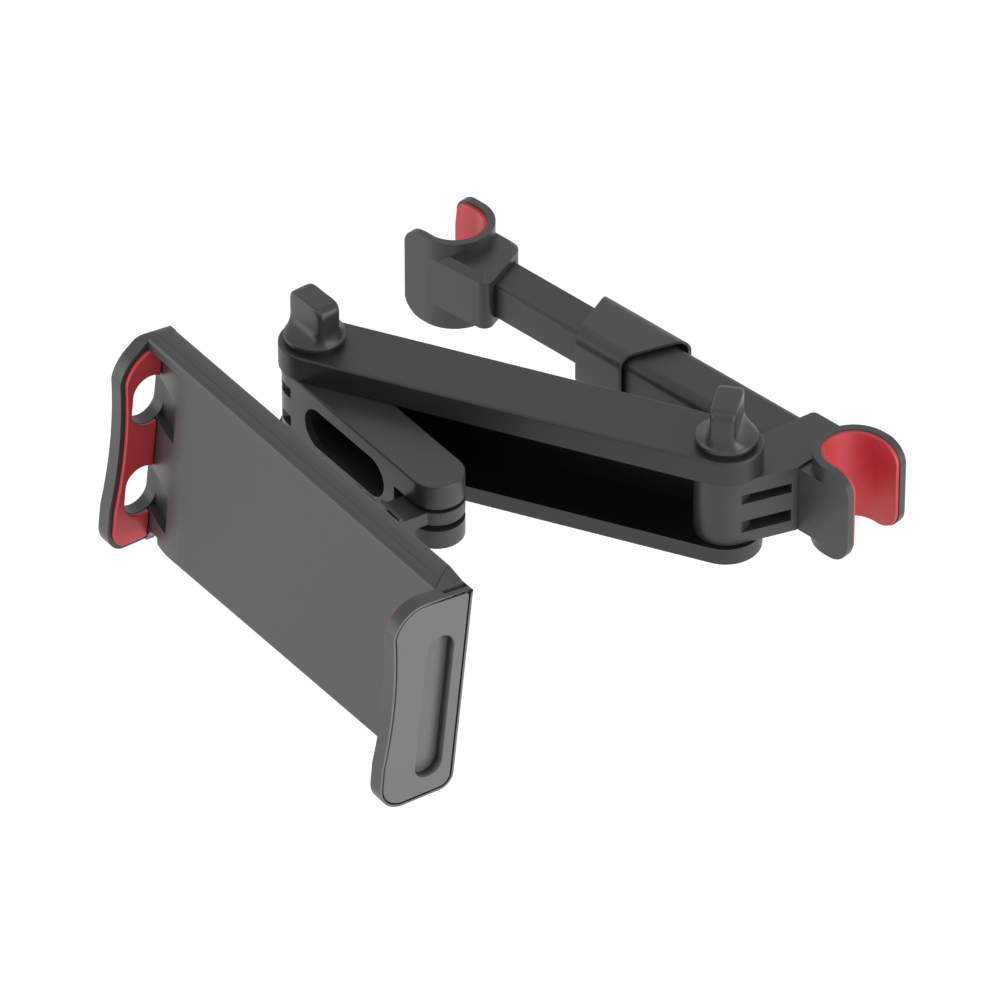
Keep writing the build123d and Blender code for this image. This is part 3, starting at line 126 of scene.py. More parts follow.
LINE_STRETCH = 60  # how many times longer a drawn line is than the lines are apart
LINE_BUMP, LINE_DEPTH_MM = 0.12, 0.01
LINE_SMOOTHER, LINE_ROUGHER = 0.06, 0.08  # how far the lines vary the roughness
X_AXIS, Z_AXIS = 0, 2


def drawn_metal(name, colour, rough, along, spacing_mm):
    """Metal with the fine lines that drawing or turning leaves along one axis."""
    material, tree, surface, place = start_material(name, colour, Metallic=1.0, Roughness=rough)
    stretch = [1 / (spacing_mm * MM)] * 3
    stretch[along] = 1 / (spacing_mm * LINE_STRETCH * MM)
    lines = add_node(tree, "ShaderNodeMapping", inputs={"Scale": stretch}, links={"Vector": place})
    grain = add_node(tree, "ShaderNodeTexNoise",
                     inputs={"Scale": 1.0, "Detail": 3.0, "Roughness": 0.55},
                     links={"Vector": lines.outputs[0]})
    texture_skin(tree, surface, grain.outputs[0], rough - LINE_SMOOTHER, rough + LINE_ROUGHER,
                 LINE_BUMP, LINE_DEPTH_MM)
    return material


# Finishes of the real pieces. The grains and lines are a few times coarser than real ones, which
# are about a tenth of a millimetre across, so that they still show at the photo's distance.

# Eroded black ABS: deep, even black with a wide, soft highlight
arm_abs = moulded_plastic("satin_black_abs_of_the_long_arm", "#2e2e30", "#28282a",
                          grain_mm=0.35, rough=0.44, rough_spread=0.05, bump=0.2)
# The same black ABS on the shells, a little smoother, and painted a shade greyer than the long arm:
# painted light that stands in for the extra light the shells catch
shell_abs_painted_lighter = moulded_plastic("satin_black_abs_of_the_shells_painted_lighter", "#3f3f40", "#39393a",
                            grain_mm=0.35, rough=0.38, rough_spread=0.05, bump=0.2)
# Painted shade: the long arm's channel is painted nearly black, standing in for the shade between
# its two flanges
painted_shade_of_the_arm_channel = moulded_plastic("painted_shade_inside_the_arm", "#0c0c0d", "#080809",
                           grain_mm=0.5, rough=0.34, rough_spread=0.04, bump=0.15)
# The knobs' finer grain keeps highlights narrow, so their curves read
knob_abs = moulded_plastic("fine_satin_abs_of_the_knobs", "#363638", "#303032",
                           grain_mm=0.3, rough=0.34, rough_spread=0.04, bump=0.15)
# Graphite paint with painted reflection: its mid grey is lightened to stand in for the lamp's light
# mirrored in the flat face, and fades softly across it
plate_paint_with_painted_reflection = moulded_plastic("satin_graphite_paint_with_painted_reflection", "#7a7a7c", "#727274",
                              grain_mm=0.4, rough=0.32, rough_spread=0.04, bump=0.1)
# Stoved enamel: black with the slight waviness of a thick baked coat
bar_enamel = moulded_plastic("stoved_black_enamel", "#2e2e30", "#2a2a2c",
                             grain_mm=0.6, rough=0.42, rough_spread=0.04, bump=0.12)
# Silicone: saturated coral red that takes light evenly, with hardly a highlight
silicone = moulded_plastic("moulded_silicone_coral_red", "#dc4a52", "#cf3f48",
                           grain_mm=0.45, rough=0.4, rough_spread=0.05, bump=0.2)
# Zinc plating: pale, bright metal with faint lines from the turning below it
zinc_steel = drawn_metal("zinc_plated_steel", "#b9bbbd", rough=0.3, along=Z_AXIS, spacing_mm=0.2)
# Bare drawn wire: a darker metal with a sharp line of light along each turn
spring_wire = drawn_metal("drawn_spring_wire", "#a6a6a8", rough=0.28, along=X_AXIS,
                          spacing_mm=0.15)

finish_of = {"main_arm": arm_abs, "right_jaw_cover": plate_paint_with_painted_reflection}
for finish, nodes in (
    # The shells take the same ABS painted a shade lighter, as painted light
    (shell_abs_painted_lighter, ("bar_collar", "pivot_bracket", "right_hook", "left_hook", "short_arm",
                 "swivel_link", "ball_cup", "ball_ring_nut", "clamp_rear_cover", "clamp_body",
                 "clamp_slider")),
    (knob_abs, ("right_knob", "left_knob")),
    (bar_enamel, ("outer_bar", "inner_bar")),
    (silicone, ("right_hook_pad", "left_hook_pad", "left_jaw_pad", "right_jaw_pad")),
    (spring_wire, ("bar_spring", "clamp_springs")),
):
    finish_of.update(dict.fromkeys(nodes, finish))
for node, solid in frame["nodes"].items():
    solid.data.materials.clear()
    solid.data.materials.append(finish_of.get(node, zinc_steel))

bodies = frame["record"]["behaviour"]["bodies"]
body_of = {node: body for body, nodes in bodies.items() for node in nodes}

# Directions and places in the shared frame, in millimetres
ARM_NEAR = Vector((0.3681, -0.9298, 0))  # across the long arm, out of its open side
CLAMP_BACK = Vector((-81.166, -105.495, -1.162))  # the middle of the clamp's back
CLAMP_ALONG = Vector((0.98463, -0.17468, 0))  # towards the sliding jaw
CLAMP_UP = Vector((0.01947, 0.10976, 0.99377))
CLAMP_FRONT = Vector((-0.17359, -0.97849, 0.11147))  # towards the tablet
BALL = Vector((-76.720, -94.172, -2.5))


def clamp_place(point):
    """Where a point is along, up and in front of the middle of the clamp's back, in millimetres."""
    place = point / MM - CLAMP_BACK
    return place.dot(CLAMP_ALONG), place.dot(CLAMP_UP), place.dot(CLAMP_FRONT)


def ramp(value, start, length):
    """Rises from 0 at the start to 1 over a length, and stays there."""
    return min(1.0, max(0.0, (value - start) / length))


# Moulded edges
WELD_MM = 0.004  # points closer than this are one
FLAT = math.radians(1.0)  # faces that turn by less are one


def merged_form(node):
    """A working copy of a CAD node with its seams welded and its flat faces whole."""
    form = bmesh.new()
    form.from_mesh(frame["nodes"][node].data)
    bmesh.ops.remove_doubles(form, verts=form.verts, dist=WELD_MM * MM)
    bmesh.ops.dissolve_degenerate(form, edges=form.edges, dist=WELD_MM * MM)
    bmesh.ops.dissolve_limit(form, angle_limit=FLAT, verts=form.verts, edges=form.edges)
    return form


def smooth(mesh):
    """Shades every face of a mesh as part of a smooth skin."""
    for face in mesh.polygons:
        face.use_smooth = True


def finished_piece(form, node, width_mm, sharper_than=28.0, extra=()):
    """A form as a smooth piece of its node's body, with its sharp edges rounded as in a mould."""
    body = body_of[node]
    mesh = bpy.data.meshes.new(node + "_moulding")
    form.to_mesh(mesh)
    form.free()
    smooth(mesh)
    for finish in (finish_of.get(node, zinc_steel), *extra):
        mesh.materials.append(finish)
    piece = bpy.data.objects.new(node + "_moulding", mesh)
    scene.collection.objects.link(piece)
    bevel = piece.modifiers.new("edge", "BEVEL")
    bevel.width = width_mm * MM
    bevel.segments = 2
    bevel.limit_method = "ANGLE"
    bevel.angle_limit = math.radians(sharper_than)
    weighted = piece.modifiers.new("shade", "WEIGHTED_NORMAL")
    weighted.weight = 80
    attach(piece, body)
    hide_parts(node)


CUT_GRIP = 1e-7  # metres within which a point counts as on the cut


def cut_off(form, point_mm, direction):
    """Takes away what lies beyond a plane and closes the cut."""
    everything = form.verts[:] + form.edges[:] + form.faces[:]
    cut = bmesh.ops.bisect_plane(form, geom=everything, dist=CUT_GRIP,
                                 plane_co=Vector(point_mm) * MM, plane_no=Vector(direction),
                                 clear_outer=True)
    rim = [item for item in cut["geom_cut"] if isinstance(item, bmesh.types.BMEdge)]
    bmesh.ops.edgenet_fill(form, edges=rim)


def flat_turns(count):
    """How far each of the equal flats that stand for a quarter of a circle is turned."""
    return [math.radians(90 * (step + 0.5) / count) for step in range(count)]


# The clamp's plate, in millimetres: half its length, half its height in the solids, how much
# higher the scene makes it at its top and bottom, and the round of its back edges in the solids
# and in the scene
PLATE_END = 63.7
PLATE_HALF = 26.5
TOP_GROWTH = 1.25
BOTTOM_GROWTH = 2.0
SOLID_ROUND = 3.4
BACK_ROUND = 0.9
# Where the plate starts to grow, and over what length it reaches its full growth: from the left
# jaw along its bottom, from the right jaw backwards, and out from the middle of its faces
FROM_LEFT_JAW = (-60, 8)
FROM_RIGHT_JAW = (-59.5, 3.5)
FROM_MIDDLE = (1.2, 1.5)


def round_clamp_corner(form):
    """Rounds the corner between the clamp's top and its left end, in flats that read as an arc."""
    radius = 3.2
    middle = (CLAMP_BACK - CLAMP_ALONG * (PLATE_END - radius)
              + CLAMP_UP * (PLATE_HALF + TOP_GROWTH - radius))
    for turn in flat_turns(5):
        direction = CLAMP_UP * math.cos(turn) - CLAMP_ALONG * math.sin(turn)
        cut_off(form, middle + direction * radius, direction)
    bmesh.ops.recalc_face_normals(form, faces=form.faces)


def squared_corner(out, back):
    """A point of the solids' wide round, moved straight out onto a nearly square corner."""
    turn = Vector((out, back)).normalized()
    reach = SOLID_ROUND / max(turn.x, turn.y)
    flat_part = SOLID_ROUND - BACK_ROUND
    if min(turn.x, turn.y) * reach > flat_part:
        middle = Vector((flat_part, flat_part))
        ahead = turn.dot(middle)
        reach = ahead + math.sqrt(max(0.0, ahead ** 2 - middle.length_squared + BACK_ROUND ** 2))
    return turn.x * reach, turn.y * reach


def fill_back_edges(form):
    """Makes the clamp's long back edges nearly square, and its plate as high as in the photo."""
    inner = PLATE_HALF - SOLID_ROUND
    slack = 0.05
    for vertex in form.verts:
        along, up, front = clamp_place(vertex.co)
        if abs(along) > 65 or abs(up) < inner + slack or abs(up) > PLATE_HALF + slack:
            continue
        out, back = abs(up) - inner, SOLID_ROUND - front
        new_out, new_back = out, back
        if back > 0.02 and math.hypot(out, back) > SOLID_ROUND - 0.08:
            new_out, new_back = squared_corner(out, back)
        grow = TOP_GROWTH if up > 0 else BOTTOM_GROWTH * ramp(along, *FROM_LEFT_JAW)
        grow *= ramp(-along, *FROM_RIGHT_JAW)
        new_out += grow * ramp(out, *FROM_MIDDLE)
        shift = CLAMP_UP * math.copysign(new_out - out, up) - CLAMP_FRONT * (new_back - back)
        vertex.co += shift * MM


def lengthen_toe(form):
    """Lets the left jaw's toe, and the web that leads down to it, hang lower than in the solids."""
    start, height, drop = -24.3, 7.8, 2.0
    web_end, web_length = -52, 7.5
    for vertex in form.verts:
        along, up, _ = clamp_place(vertex.co)
        if up < start and along < web_end:
            share = (up - start) / height * drop * ramp(-along, -web_end, web_length)
            vertex.co += CLAMP_UP * share * MM


def flatten_link(form):
    """Keeps the link a flat tongue until close to its ball."""
    pivot = Vector((-70.961, -71.905, 0))
    heading = math.radians(255.5)
    ahead = Vector((math.cos(heading), math.sin(heading), 0))
    stem_start, later_start = 9.0, 12.3
    for vertex in form.verts:
        reach = (vertex.co / MM - pivot).dot(ahead)
        if abs(reach - stem_start) < 0.3:
            vertex.co += ahead * (later_start - reach) * MM


EDGE_MM = {
    "outer_bar": 0.15, "inner_bar": 0.15, "bar_collar": 0.35, "pivot_bracket": 0.3,
    "short_arm": 0.3, "swivel_link": 0.3, "clamp_body": 0.35, "clamp_rear_cover": 0.3,
    "right_jaw_cover": 0.3, "left_jaw_pad": 0.3, "right_jaw_pad": 0.3, "ball_cup": 0.25,
    "ball_ring_nut": 0.25, "right_pivot_nut": 0.15, "left_pivot_nut": 0.15,
    "right_knob_washer": 0.12, "left_knob_washer": 0.12,
}
for node, width in EDGE_MM.items():
    form = merged_form(node)
    if node in ("clamp_body", "clamp_rear_cover"):
        fill_back_edges(form)
        round_clamp_corner(form)
    if node in ("clamp_body", "left_jaw_pad"):
        lengthen_toe(form)
    if node == "swivel_link":
        flatten_link(form)
    finished_piece(form, node, width)

# The long arm: its channel's faces get the near-black painted shade, as dark as the shade between
# the two flanges looks
SECOND_FINISH = 1
CHANNEL_BOTTOM, CHANNEL_TOP = -10.75, 8.9
arm = merged_form("main_arm")
# Faces inside the channel, between the flanges, take the material of painted shade
for face in arm.faces:
    height = face.calc_center_median().z / MM
    if CHANNEL_BOTTOM < height < CHANNEL_TOP and face.normal.dot(ARM_NEAR) > -0.5:
        face.material_index = SECOND_FINISH
finished_piece(arm, "main_arm", 0.3, extra=[painted_shade_of_the_arm_channel])

# The sliding jaw: its outer rim has the paint of the plate that it frames, with the same painted
# reflection
jaw = merged_form("clamp_slider")
fill_back_edges(jaw)
for face in jaw.faces:
    along, _, _ = clamp_place(face.calc_center_median())
    if face.normal.dot(CLAMP_ALONG) > 0.9 and along > 60:
        face.material_index = SECOND_FINISH
finished_piece(jaw, "clamp_slider", 0.35, extra=[plate_paint_with_painted_reflection])

# Post hooks and their liners, in millimetres
HOOK_TOP = 12.8
LINER_BOTTOM = -13.3
LINER_BOTTOM_ROUND = 6.0
LINER_TRIM = 0.35  # how far the liner stays inside the shell's ends
SHELL_INSIDE = 8.8  # radius of the shell's inner wall
LIP = 0.5  # how far that wall comes in over the liner's rim
UP, DOWN = (0, 0, 1), (0, 0, -1)


def round_tips(form, tip_x, opening, height, radius, inset, downwards=False):
    """Rounds one corner of a hook's two tips, seen from the side, in flats that read as an arc."""
    sign = -1 if downwards else 1
    centre_x = tip_x - opening * radius
    centre_z = height - sign * radius
    reach = radius - inset
    for turn in flat_turns(7):
        direction = (opening * math.sin(turn), 0, sign * math.cos(turn))
        point = (centre_x + reach * direction[0], 0, centre_z + reach * direction[2])
        cut_off(form, point, direction)


def dress_hook(side, post_x, opening, reach, top_round, liner_drop, edge_mm):
    """A hook's shell with full, rounded tips and a lip round its liner, and the liner inside."""
    tip_x = post_x + opening * reach
    shell = merged_form(side + "_hook")
    cut_off(shell, (0, 0, HOOK_TOP), UP)
    cut_off(shell, (tip_x, 0, 0), (opening, 0, 0))
    round_tips(shell, tip_x, opening, HOOK_TOP, top_round, 0.0)
    for vertex in shell.verts:
        place = vertex.co / MM
        from_post = place.x - post_x
        straight = from_post * opening > 0
        across = abs(place.y) if straight else math.hypot(from_post, place.y)
        if abs(across - SHELL_INSIDE) < 0.1:
            outward = Vector((0 if straight else from_post, place.y, 0)).normalized()
            vertex.co -= outward * LIP * MM
    bmesh.ops.recalc_face_normals(shell, faces=shell.faces)
    finished_piece(shell, side + "_hook", edge_mm)

    liner = merged_form(side + "_hook_pad")
    cut_off(liner, (0, 0, HOOK_TOP - liner_drop), UP)
    cut_off(liner, (0, 0, LINER_BOTTOM + LINER_TRIM), DOWN)
    cut_off(liner, (tip_x - opening * LINER_TRIM, 0, 0), (opening, 0, 0))
    round_tips(liner, tip_x, opening, HOOK_TOP, top_round, liner_drop)
    round_tips(liner, tip_x, opening, LINER_BOTTOM, LINER_BOTTOM_ROUND, LINER_TRIM, downwards=True)
    bmesh.ops.recalc_face_normals(liner, faces=liner.faces)
    finished_piece(liner, side + "_hook_pad", 0.3)


dress_hook("right", post_x=0.0, opening=1, reach=7.5, top_round=6.0, liner_drop=0.25, edge_mm=0.45)
dress_hook("left", post_x=-135.0, opening=-1, reach=7.3, top_round=4.8, liner_drop=0.8,
           edge_mm=0.5)


# Rings of points and the skins between them
def round_ring(form, radius, height, count):
    """A level ring of points."""
    turns = [2 * math.pi * k / count for k in range(count)]
    return [form.verts.new((radius * math.cos(t), radius * math.sin(t), height)) for t in turns]


def skin(form, first, second):
    """Joins two rings with as many points by a band of faces."""
    for k in range(len(first)):
        n = (k + 1) % len(first)
        form.faces.new((first[k], first[n], second[n], second[k]))


def skin_and_cap(form, rings):
    """Skins a row of rings from the lowest to the highest, and closes both ends."""
    for below, above in zip(rings, rings[1:]):
        skin(form, below, above)
    form.faces.new(list(reversed(rings[0])))
    form.faces.new(rings[-1])


# Clamping knobs, in millimetres
KNOB_POINTS = 96
KNOB_BOTTOM, WING_TOP, KNOB_TOP = 16.45, 27.75, 28.35
FOOT_RADIUS, FOOT_HEIGHT = 7.75, 1.5
SKIRT_HEIGHT, SKIRT_SWEEP = 4.6, 2.6
WING_HALF_LENGTH, WING_HALF_WIDTH = 6.6, 3.3
WING_POWER = 2 / 7.0  # how square the wing's plan is
WING_END_ROUND = 2.6
TOP_EDGE = 0.6


def knob_levels():
    """Each ring's height, its share of the wing's plan, and how far it is drawn in."""
    low = KNOB_BOTTOM
    levels = [(low, 0.0, 0.35), (low + 0.35, 0.0, 0.0), (low + 1.2, 0.0, 0.0),
              (low + FOOT_HEIGHT, 0.0, 0.3)]
    for step in range(1, 15):
        up = step / 14
        levels.append((low + FOOT_HEIGHT + SKIRT_HEIGHT * up, 1 - (1 - up) ** SKIRT_SWEEP,
                       0.3 * (1 - up)))
    for height in (23.4, 24.6, 25.4, 26.0, 26.5, 27.0, 27.4, WING_TOP):
        levels.append((height, 1.0, 0.0))
    for step in range(1, 6):
        turn = math.radians(18 * step)
        levels.append((WING_TOP + TOP_EDGE * math.sin(turn), 1.0, TOP_EDGE * (1 - math.cos(turn))))
    return levels


def winged_knob(node, centre_x, centre_y, wing_angle):
    """A round foot whose skirt sweeps up into a thick wing with a flat top and rounded ends."""
    angle = math.radians(wing_angle)
    form = bmesh.new()
    rings = []
    for height, blend, inset in knob_levels():
        rise = max(0.0, height - (KNOB_TOP - WING_END_ROUND))
        end_round = WING_END_ROUND - math.sqrt(max(0.0, WING_END_ROUND ** 2 - rise ** 2))
        length = WING_HALF_LENGTH - 0.75 * end_round
        ring = []
        for step in range(KNOB_POINTS):
            turn = 2 * math.pi * step / KNOB_POINTS
            c, s = math.cos(turn), math.sin(turn)
            wing = Vector((length * math.copysign(abs(c) ** WING_POWER, c),
                           WING_HALF_WIDTH * math.copysign(abs(s) ** WING_POWER, s)))
            disc = Vector((FOOT_RADIUS * c, FOOT_RADIUS * s))
            flat = disc.lerp(wing, blend)
            flat -= flat.normalized() * inset
            x = centre_x + flat.x * math.cos(angle) - flat.y * math.sin(angle)
            y = centre_y + flat.x * math.sin(angle) + flat.y * math.cos(angle)
            ring.append(form.verts.new(Vector((x, y, height)) * MM))
        rings.append(ring)
    skin_and_cap(form, rings)
    finished_piece(form, node, 0.2, sharper_than=40.0)


winged_knob("right_knob", centre_x=-22.3, centre_y=-21.6, wing_angle=122.0)
winged_knob("left_knob", centre_x=-122.716, centre_y=-61.357, wing_angle=-8.0)


# Geometry trees for what repeats
def start_tree(name, sockets):
    """A geometry tree with its named inputs, and the node that hands them out."""
    tree = bpy.data.node_groups.new(name, "GeometryNodeTree")
    for label, kind in sockets.items():
        tree.interface.new_socket(name=label, in_out="INPUT", socket_type=kind)
    tree.interface.new_socket(name="Geometry", in_out="OUTPUT",
                              socket_type="NodeSocketGeometry")
    return tree, add_node(tree, "NodeGroupInput")


def end_tree(tree, start, instances):
    """Makes the tree's instances real, gives them their finish and hands them out."""
    solid = add_node(tree, "GeometryNodeRealizeInstances", links={"Geometry": instances})
    painted = add_node(tree, "GeometryNodeSetMaterial",
                       links={"Geometry": solid.outputs["Geometry"],
                              "Material": start.outputs["Finish"]})
    add_node(tree, "NodeGroupOutput", links={"Geometry": painted.outputs["Geometry"]})


def grown_mesh(name, tree, values):
    """Runs a geometry tree with its inputs set by their identifiers, and keeps the plain mesh."""
    seed = bpy.data.objects.new(name + "_seed", bpy.data.meshes.new(name + "_seed"))
    scene.collection.objects.link(seed)
    grower = seed.modifiers.new("grow", "NODES")
    grower.node_group = tree
    for item in tree.interface.items_tree:
        if item.in_out == "INPUT" and item.name in values:
            grower[item.identifier] = values[item.name]
    bpy.context.view_layer.update()
    evaluated = seed.evaluated_get(bpy.context.evaluated_depsgraph_get())
    mesh = bpy.data.meshes.new_from_object(evaluated)
    mesh.name = name
    bpy.data.objects.remove(seed)
    return mesh


def laid_piece(name, mesh, origin_mm, axes):
    """Lays a mesh made in millimetres into the shared frame, by its origin and its three axes."""
    turn = Matrix(axes).transposed().to_4x4()
    mesh.transform(Matrix.Scale(MM, 4) @ Matrix.Translation(origin_mm) @ turn)
    mesh.update()
    piece = bpy.data.objects.new(name, mesh)
    scene.collection.objects.link(piece)
    return piece


def pattern_object(form, name):
    """A form made in millimetres, as the object that a tree repeats."""
    bmesh.ops.recalc_face_normals(form, faces=form.faces)
    mesh = bpy.data.meshes.new(name)
    form.to_mesh(mesh)
    form.free()
    return bpy.data.objects.new(name, mesh)


# The cover's four screws
SCREW_POINTS = 40
SCREW_FACE = 0.07
# Radius and height of the head's face, shoulder, side and seat, then the shank's neck, end and tip
SCREW_RINGS = ((1.75, SCREW_FACE), (2.0, 0.17), (2.08, 0.4), (2.08, 1.18), (1.1, 1.18), (1.1, 5.6),
               (0.6, 6.28))
DRIVE_REACH, DRIVE_HALF_WIDTH = 1.15, 0.27
DRIVE_FLOOR, DRIVE_TAPER = 0.85, 0.72


def cross_screw():
    """One pan-head screw in millimetres: its face and cross drive at the bottom, its shank up."""
    form = bmesh.new()
    rings = [round_ring(form, radius, height, SCREW_POINTS) for radius, height in SCREW_RINGS]
    for first, second in zip(rings, rings[1:]):
        skin(form, second, first)
    form.faces.new(rings[-1])
    arm, half = DRIVE_REACH, DRIVE_HALF_WIDTH
    cross = [(arm, half), (half, half), (half, arm), (-half, arm), (-half, half), (-arm, half),
             (-arm, -half), (-half, -half), (-half, -arm), (half, -arm), (half, -half),
             (arm, -half)]
    mouth = [form.verts.new((x, y, SCREW_FACE)) for x, y in cross]
    bottom = [form.verts.new((x * DRIVE_TAPER, y * DRIVE_TAPER, DRIVE_FLOOR)) for x, y in cross]
    skin(form, mouth, bottom)
    form.faces.new(bottom)
    rims = [form.edges.get((ring[k], ring[(k + 1) % len(ring)])) for ring in (mouth, rings[0])
            for k in range(len(ring))]
    bmesh.ops.triangle_fill(form, edges=rims, use_beauty=True)
    return pattern_object(form, "cross_screw")


def screws_in_a_rectangle():
    """A tree that sets a screw on each corner of a rectangle."""
    tree, start = start_tree("screws_in_a_rectangle", {
        "Screw": "NodeSocketObject", "Along": "NodeSocketFloat", "Up": "NodeSocketFloat",
        "Finish": "NodeSocketMaterial"})
    corners = add_node(tree, "GeometryNodeMeshGrid", inputs={"Vertices X": 2, "Vertices Y": 2},
                       links={"Size X": start.outputs["Along"], "Size Y": start.outputs["Up"]})
    screw = add_node(tree, "GeometryNodeObjectInfo", links={"Object": start.outputs["Screw"]})
    rows = add_node(tree, "GeometryNodeInstanceOnPoints",
                    links={"Points": corners.outputs["Mesh"],
                           "Instance": screw.outputs["Geometry"]})
    end_tree(tree, start, rows.outputs["Instances"])
    return tree


CLAMP_AXES = (CLAMP_ALONG, CLAMP_UP, CLAMP_FRONT)
pattern = cross_screw()
screws = grown_mesh("cover_screw_set", screws_in_a_rectangle(),
                    {"Screw": pattern, "Along": 86.0, "Up": 44.0, "Finish": zinc_steel})
bpy.data.objects.remove(pattern)
piece = laid_piece("cover_screw_set", screws, CLAMP_BACK, CLAMP_AXES)
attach(piece, body_of["cover_screws"])
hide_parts("cover_screws")

# The ring nut's grips
RIBS = 16
RIB_RISE, RIB_HALF_WIDTH, RIB_SINK = 0.5, 0.85, 0.06
# Where each section of a rib is along it, and its share of the rib's full size
RIB_SECTIONS = ((0.0, 0.0), (0.35, 0.75), (0.9, 1.0), (8.7, 1.0), (9.25, 0.75), (9.6, 0.0))
RING_NUT_RADIUS = 13.0
RIBS_BEHIND_CLAMP = 14.0


def grip_rib():
    """One rounded rib in millimetres, lying along Z on the nut's skin, which is the plane x = 0."""
    form = bmesh.new()
    sections = []
    for end, share in RIB_SECTIONS:
        section = []
        for degrees in range(-10, 191, 20):
            turn = math.radians(degrees)
            section.append(form.verts.new((RIB_RISE * share * math.sin(turn) - RIB_SINK,
                                           RIB_HALF_WIDTH * max(share, 0.05) * math.cos(turn),
                                           end)))
        sections.append(section)
    skin_and_cap(form, sections)
    return pattern_object(form, "grip_rib")


def ribs_round_a_ring():
    """A tree that sets ribs round a ring, each turned to face outwards."""
    tree, start = start_tree("ribs_round_a_ring", {
        "Rib": "NodeSocketObject", "Count": "NodeSocketInt", "Radius": "NodeSocketFloat",
        "First": "NodeSocketFloat", "Finish": "NodeSocketMaterial"})
    circle = add_node(tree, "GeometryNodeMeshCircle",
                      links={"Vertices": start.outputs["Count"],
                             "Radius": start.outputs["Radius"]})
    number = add_node(tree, "GeometryNodeInputIndex")
    share = add_node(tree, "ShaderNodeMath", settings={"operation": "DIVIDE"},
                     links={0: number.outputs[0], 1: start.outputs["Count"]})
    turned = add_node(tree, "ShaderNodeMath", settings={"operation": "MULTIPLY"},
                      inputs={1: 2 * math.pi}, links={0: share.outputs[0]})
    facing = add_node(tree, "ShaderNodeCombineXYZ", links={"Z": turned.outputs[0]})
    rib = add_node(tree, "GeometryNodeObjectInfo", links={"Object": start.outputs["Rib"]})
    crown = add_node(tree, "GeometryNodeInstanceOnPoints",
                     links={"Points": circle.outputs["Mesh"], "Instance": rib.outputs["Geometry"],
                            "Rotation": facing.outputs[0]})
    offset = add_node(tree, "ShaderNodeCombineXYZ", links={"Z": start.outputs["First"]})
    swung = add_node(tree, "GeometryNodeTransform",
                     links={"Geometry": crown.outputs["Instances"], "Rotation": offset.outputs[0]})
    end_tree(tree, start, swung.outputs["Geometry"])
    return tree


pattern = grip_rib()
grips = grown_mesh("ring_nut_grips", ribs_round_a_ring(),
                   {"Rib": pattern, "Count": RIBS, "Radius": RING_NUT_RADIUS,
                    "First": math.radians(180 / RIBS), "Finish": shell_abs_painted_lighter})
bpy.data.objects.remove(pattern)
smooth(grips)
to_ribs = (CLAMP_BACK - BALL).dot(CLAMP_FRONT) - RIBS_BEHIND_CLAMP
piece = laid_piece("ring_nut_grips", grips, BALL + CLAMP_FRONT * to_ribs, CLAMP_AXES)
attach(piece, body_of["ball_ring_nut"])


# Springs
def coiled_springs():
    """A tree that winds a row of equal springs."""
    tree, start = start_tree("coiled_springs", {
        "Turns": "NodeSocketFloat", "Radius": "NodeSocketFloat", "Length": "NodeSocketFloat",
        "Wire": "NodeSocketFloat", "Count": "NodeSocketInt", "First": "NodeSocketVector",
        "Step": "NodeSocketVector", "Finish": "NodeSocketMaterial"})
    path = add_node(tree, "GeometryNodeCurveSpiral", inputs={"Resolution": 28},
                    links={"Rotations": start.outputs["Turns"],
                           "Start Radius": start.outputs["Radius"],
                           "End Radius": start.outputs["Radius"],
                           "Height": start.outputs["Length"]})
    section = add_node(tree, "GeometryNodeCurvePrimitiveCircle", inputs={"Resolution": 10},
                       links={"Radius": start.outputs["Wire"]})
    wire = add_node(tree, "GeometryNodeCurveToMesh", inputs={"Fill Caps": True},
                    links={"Curve": path.outputs["Curve"],
                           "Profile Curve": section.outputs["Curve"]})
    row = add_node(tree, "GeometryNodeMeshLine",
                   links={"Count": start.outputs["Count"],
                          "Start Location": start.outputs["First"],
                          "Offset": start.outputs["Step"]})
    pair = add_node(tree, "GeometryNodeInstanceOnPoints",
                    links={"Points": row.outputs["Mesh"], "Instance": wire.outputs["Mesh"]})
    end_tree(tree, start, pair.outputs["Instances"])
    return tree


def coiled_piece(tree, node, values, origin_mm, axes):
    """Springs along the last axis, laid in place and left fixed; they lie between the two bodies
    that hold their ends.
    """
    mesh = grown_mesh(node + "_wire", tree, {**values, "Finish": spring_wire})
    smooth(mesh)
    piece = laid_piece(node + "_wire", mesh, origin_mm, axes)
    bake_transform(piece)
    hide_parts(node)


springs = coiled_springs()
coiled_piece(springs, "bar_spring",
             {"Turns": 10.0, "Radius": 3.4, "Length": 58.7, "Wire": 0.5, "Count": 1},
             Vector((-73.35, 0.2, 0.25)),
             (Vector((0, 1, 0)), Vector((0, 0, 1)), Vector((1, 0, 0))))
coiled_piece(springs, "clamp_springs",
             {"Turns": 9.0, "Radius": 1.3, "Length": 15.4, "Wire": 0.3, "Count": 2,
              "First": (0, -16.5, 0), "Step": (0, 33.0, 0)},
             CLAMP_BACK - CLAMP_ALONG * 39.85 + CLAMP_FRONT * 4.15,
             (-CLAMP_FRONT, CLAMP_UP, CLAMP_ALONG))


# Room, light and camera, in metres
def seen_directly(tree):
    """One for rays that see the background: the camera's, mirrored ones and ones through glass."""
    path = add_node(tree, "ShaderNodeLightPath")
    mirrored = add_node(tree, "ShaderNodeMath", settings={"operation": "MAXIMUM"},
                        links={0: path.outputs["Is Glossy Ray"],
                               1: path.outputs["Is Transmission Ray"]})
    return add_node(tree, "ShaderNodeMath", settings={"operation": "MAXIMUM"},
                    links={0: path.outputs["Is Camera Ray"], 1: mirrored.outputs[0]}).outputs[0]


WHITE = (1, 1, 1, 1)
FLOOR_REACH, FLOOR_HEIGHT = 6, -0.3
FLOOR_GLOW = 0.6  # what lifts the lit paper to white and still leaves the object's shadow
ROOM_LEVEL = 0.3

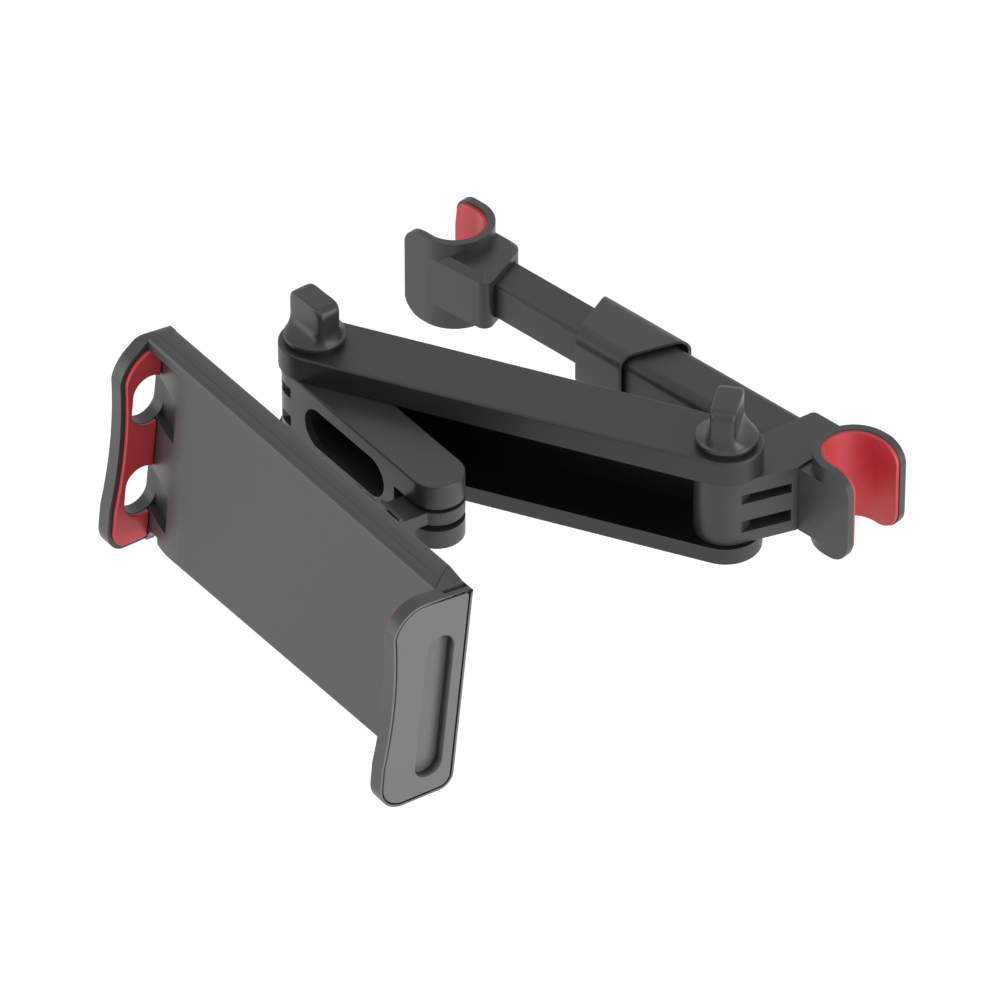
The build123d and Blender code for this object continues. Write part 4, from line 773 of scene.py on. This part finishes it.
floor_mesh = bpy.data.meshes.new("floor")
corners = [(x * FLOOR_REACH, y * FLOOR_REACH, FLOOR_HEIGHT)
           for x, y in ((-1, -1), (1, -1), (1, 1), (-1, 1))]
floor_mesh.from_pydata(corners, [], [(0, 1, 2, 3)])
floor = bpy.data.objects.new("floor", floor_mesh)
scene.collection.objects.link(floor)
paper = bpy.data.materials.new("matt_white_paper")
paper.use_nodes = True
tree = paper.node_tree
tree.nodes.clear()
matt = add_node(tree, "ShaderNodeBsdfDiffuse", inputs={"Color": to_linear("#f4f4f4")})
glow = add_node(tree, "ShaderNodeEmission", inputs={"Color": WHITE, "Strength": FLOOR_GLOW})
both = add_node(tree, "ShaderNodeAddShader", links={0: matt.outputs[0], 1: glow.outputs[0]})
pick = add_node(tree, "ShaderNodeMixShader",
                links={0: seen_directly(tree), 1: matt.outputs[0], 2: both.outputs[0]})
add_node(tree, "ShaderNodeOutputMaterial", links={"Surface": pick.outputs[0]})
floor_mesh.materials.append(paper)

world = bpy.data.worlds.new("studio")
scene.world = world
world.use_nodes = True
tree = world.node_tree
tree.nodes.clear()
soft = add_node(tree, "ShaderNodeBackground", inputs={"Color": WHITE, "Strength": ROOM_LEVEL})
white = add_node(tree, "ShaderNodeBackground", inputs={"Color": WHITE, "Strength": 1.0})
pick = add_node(tree, "ShaderNodeMixShader",
                links={0: seen_directly(tree), 1: soft.outputs[0], 2: white.outputs[0]})
add_node(tree, "ShaderNodeOutputWorld", links={"Surface": pick.outputs[0]})

LIT = Vector((-0.06, -0.06, 0))  # what the lamps face
LAMP_DISTANCE = 1.3


def softbox(name, direction, width, height, radiance):
    """A softbox that faces the object, its power worked out from the brightness of its cloth."""
    place = LIT + Vector(direction).normalized() * LAMP_DISTANCE
    lamp = bpy.data.lights.new(name, "AREA")
    lamp.shape = "RECTANGLE"
    lamp.size = width
    lamp.size_y = height
    lamp.energy = radiance * math.pi * width * height
    holder = bpy.data.objects.new(name, lamp)
    holder.location = place
    holder.rotation_euler = (LIT - place).to_track_quat("-Z", "Y").to_euler()
    scene.collection.objects.link(holder)


softbox("top_softbox", (0.35, -0.2, 0.93), width=1.2, height=1.2, radiance=0.7)
softbox("front_softbox", (-0.45, -0.87, 0.1), width=1.5, height=0.9, radiance=2.0)
softbox("side_softbox", (0.95, 0.25, 0.1), width=0.9, height=0.9, radiance=3.2)

AIM = Vector((-60.8, -60.4, -1.5)) * MM
TOWARDS_CAMERA = Vector((0.549, -0.568, 0.613)).normalized()
CAMERA_DISTANCE = 2.5  # with a long lens, because the photo's parallel edges hardly converge
camera_data = bpy.data.cameras.new("camera")
camera_data.sensor_width = 36
camera_data.lens = 371.7
camera_data.clip_end = 20
camera = bpy.data.objects.new("camera", camera_data)
camera.location = AIM + TOWARDS_CAMERA * CAMERA_DISTANCE
camera.rotation_euler = (-TOWARDS_CAMERA).to_track_quat("-Z", "Y").to_euler()
scene.collection.objects.link(camera)
scene.camera = camera

scene.view_settings.view_transform = "Standard"
bpy.context.view_layer.update()
